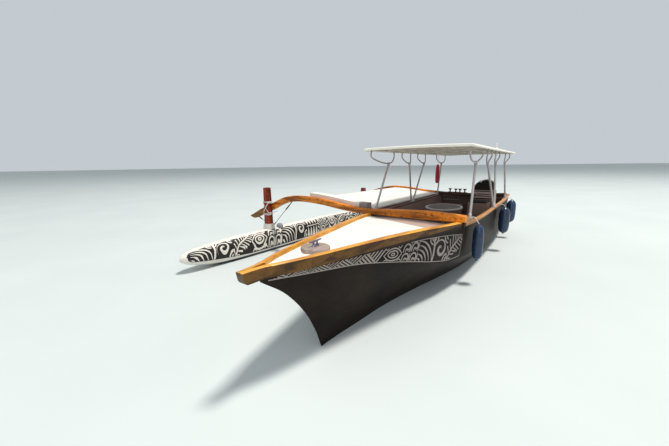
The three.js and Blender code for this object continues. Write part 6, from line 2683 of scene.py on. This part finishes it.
@dataclass
class Outboard:
    """The motor with its brackets and propeller."""

    prop_x: float = -5.170
    prop_z: float = -0.420
    sides: int = 48
    blades: int = 3
    blade_root: float = 0.030
    blade_tip: float = 0.178
    blade_pitch: float = 0.055
    # z, x0, x1, half width
    cowl: list[tuple[float, ...]] = field(default_factory=lambda: [
        (1.180, -5.250, -4.860, .130), (1.160, -5.285, -4.825, .158), (1.120, -5.330, -4.760, .190),
        (1.000, -5.380, -4.700, .215), (.800, -5.390, -4.690, .220), (.620, -5.330, -4.700, .205),
        (.520, -5.160, -4.740, .150)])

    def level(self, rows: list[tuple[float, ...]], z: float, power: float = 0.6) -> Ring:
        """A level ring of the motor: nearly a rectangle with round corners.

        Args:
            rows: The heights, ends and half widths of a part of it.
            z: The ring's height.
            power: How far it is squared off.

        Returns:
            Its points.
        """
        x0, x1, half = (along(rows, k, z) for k in (1, 2, 3))
        ring = []
        for a in steps(0, math.tau, self.sides)[:-1]:
            x, y = superoval(a, power)
            ring.append(Vector(((x0 + x1) / 2 + (x1 - x0) / 2 * x, half * y, z)))
        return ring

    def build(self) -> None:
        """Builds the motor, its propeller and its brackets."""
        dress("motor_bracket", BLACK, 0.005)
        dress("tilt_bracket", BLACK, 0.006)
        skin = Skin()
        skin.loft([self.level(self.cowl, z) for z in steps(self.cowl[0][0], self.cowl[-1][0], 40)])
        leg = [(.530, -5.150, -4.930, .070), (.300, -5.140, -4.960, .048), (-.160, -5.120, -4.960, .034),
               (-.430, -5.116, -4.956, .029)]
        skin.loft([self.level(leg, z, 0.8) for z in steps(leg[0][0], leg[-1][0], 24)])
        swivel = [Vector((-4.880, 0, z)) for z in (0.010, 0.012, 0.528, 0.530)]
        skin.tube(swivel, [0.014, 0.018, 0.018, 0.018], 20)
        skin.block((-5.060, -0.030, 0.006), (-4.880, 0.030, 0.050))
        plate = [(-5.330, .06), (-5.320, .09), (-5.28, .108), (-5.05, .110), (-4.95, .09), (-4.930, .05)]
        skin.slab([*plate, *((x, -y) for x, y in reversed(plate))], -.217, -.205)
        bullet = [(0, 0), (.045, 0), (.050, .010), (.054, .06), (.056, .12), (.052, .18), (.042, .22), (.024, .25),
                  (.010, .262), (0, .264)]
        skin.turned(bullet, Vector((-5.120, 0, self.prop_z)), AHEAD)
        fin = [(-5.110, -.440), (-4.960, -.440), (-5.000, -.510), (-5.050, -.600), (-5.100, -.600),
               (-5.110, -.585)]
        skin.loft([[Vector((x, y, z)) for x, z in fin] for y in (-.009, .009)])
        finish(skin.made("motor_case", 42), MOTOR_BLACK, "head", ["motor"])
        trim = Skin()
        for z in (0.640, 0.655):
            ring = self.level(self.cowl, z)
            middle = Vector(((ring[0].x + ring[self.sides // 2].x) / 2, 0, z))
            trim.tube([p + (p - middle).normalized() * 0.0015 for p in ring], 0.003, 8, True)
        finish(trim.made("motor_seam", 60), BLACK, "head")
        self.propeller()

    def propeller(self) -> None:
        """Builds the hub and its twisted blades."""
        skin = Skin()
        hub = [(0, 0), (.020, 0), (.032, .006), (.034, .02), (.044, .07), (.050, .11), (.052, .1185), (0, .1190)]
        skin.turned(hub, Vector((self.prop_x - 0.070, 0, self.prop_z)), AHEAD)
        root, tip, middle = self.blade_root, self.blade_tip, Vector((self.prop_x - 0.010, 0, self.prop_z))
        for i in range(self.blades):
            spin = Quaternion(AHEAD, i * math.tau / self.blades)
            rings = []
            for r in steps(root, tip, 12):
                t = (r - root) / (tip - root)
                chord = 0.062 * math.sin(math.pi * min(1.0, 0.22 + 0.78 * t))**0.55 + 0.002
                thick = 0.0065 * (1 - t) + 0.0018
                pitch = math.atan2(self.blade_pitch, r)
                c, s = math.cos(pitch), math.sin(pitch)
                blade = [(u * s + v * c, u * c - v * s, r) for u, v in oval(chord, thick, 16)]
                rings.append([middle + spin @ Vector(p) for p in blade])
            skin.loft(rings)
        finish(skin.made("propeller_blades", 50), STEEL, "propeller", ["propeller"])


@dataclass
class Studio:
    """The floor on the waterline, the light and the camera."""

    camera_at: Triple = (5.8274, 1.986, 2.08)
    focal_px: float = 290.0
    frame_px: float = 669.0
    sensor: float = 36.0
    yaw: float = 37.2
    pitch: float = 11.2996
    roll: float = -0.741
    floor_half: float = 400.0

    def floor(self) -> None:
        """Lays the pale floor."""
        skin, half = Skin(), self.floor_half
        corners = ((-half, -half), (half, -half), (half, half), (-half, half))
        skin.points = [Vector((x, y, 0.0)) for x, y in corners]
        skin.faces = [(0, 1, 2, 3)]
        obj = skin.made("studio_floor")
        sheet = NodeSheet("pale_floor")
        base = sheet.ramp(sheet.noise(0.4, 3.0, 0.5), (0.3, (0.50, 0.54, 0.53)), (0.7, (0.54, 0.575, 0.565)))
        sheet.set(Base_Color=base, Roughness=0.7)
        obj.data.materials.append(sheet.material)

    def lamp(self, name: str, at: Triple, aim: Triple, size: float, power: float, colour: Triple) -> None:
        """Hangs one soft lamp.

        Args:
            name: Its name.
            at: Where it hangs.
            aim: What it faces.
            size: Its side in metres.
            power: Its power in watts.
            colour: Its colour.
        """
        data = bpy.data.lights.new(name, "AREA")
        data.size = size
        data.energy = power
        data.color = colour
        obj = bpy.data.objects.new(name, data)
        obj.location = at
        obj.rotation_mode = "QUATERNION"
        obj.rotation_quaternion = (Vector(aim) - Vector(at)).to_track_quat("-Z", "Y")
        bpy.context.scene.collection.objects.link(obj)

    def lights(self) -> None:
        """Sets the key, the fill and the pale surroundings."""
        self.lamp("key", (-8.0, 14.0, 60.0), (0.3, -1.0, 0.6), 9.0, 44000.0, (1.0, 0.97, 0.92))
        self.lamp("fill", (11.0, 5.0, 5.0), (1.0, -0.5, 0.6), 8.0, 200.0, (0.95, 0.98, 1.0))
        world = bpy.data.worlds.new("surroundings")
        bpy.context.scene.world = world
        world.use_nodes = True
        back = world.node_tree.nodes["Background"]
        back.inputs["Color"].default_value = (0.83, 0.90, 0.95, 1.0)
        back.inputs["Strength"].default_value = 0.66

    def camera(self) -> None:
        """Places the camera as in the photograph."""
        data = bpy.data.cameras.new("camera")
        data.sensor_width = self.sensor
        data.lens = self.sensor * self.focal_px / self.frame_px
        data.clip_end = 1000.0
        obj = bpy.data.objects.new("camera", data)
        bpy.context.scene.collection.objects.link(obj)
        yaw, pitch, roll = (math.radians(v) for v in (self.yaw, self.pitch, self.roll))
        look = Vector((-math.cos(yaw) * math.cos(pitch), -math.sin(yaw) * math.cos(pitch), -math.sin(pitch)))
        level = Vector((-math.sin(yaw), math.cos(yaw), 0.0))
        lean = Quaternion(look, -roll)
        turn = Matrix((lean @ level, lean @ level.cross(look), -look)).transposed().to_4x4()
        obj.matrix_world = Matrix.Translation(self.camera_at) @ turn
        bpy.context.scene.camera = obj

    def build(self) -> None:
        """Sets the studio up."""
        self.camera()
        self.floor()
        self.lights()
        bpy.context.scene.view_settings.view_transform = "Standard"


def main() -> None:
    """Builds every sub-assembly in order."""
    logging.basicConfig(level=logging.INFO, format="%(name)s %(message)s")
    Studio().build()
    for part in (Hull(), Rails(), BowCleat(), Outrigger(), Awning(), Cockpit(), Outboard(), RedBag()):
        log.info("building %s", type(part).__name__)
        part.build()
    fenders = [(0.545, 1.075, 0.087), (-1.950, 1.070, 0.115), (-3.480, 1.085, 0.115)]
    for number, (x, top, radius) in enumerate(fenders, 1):
        Fender(number, x, top, radius).build()


if __name__ == "__main__":
    main()
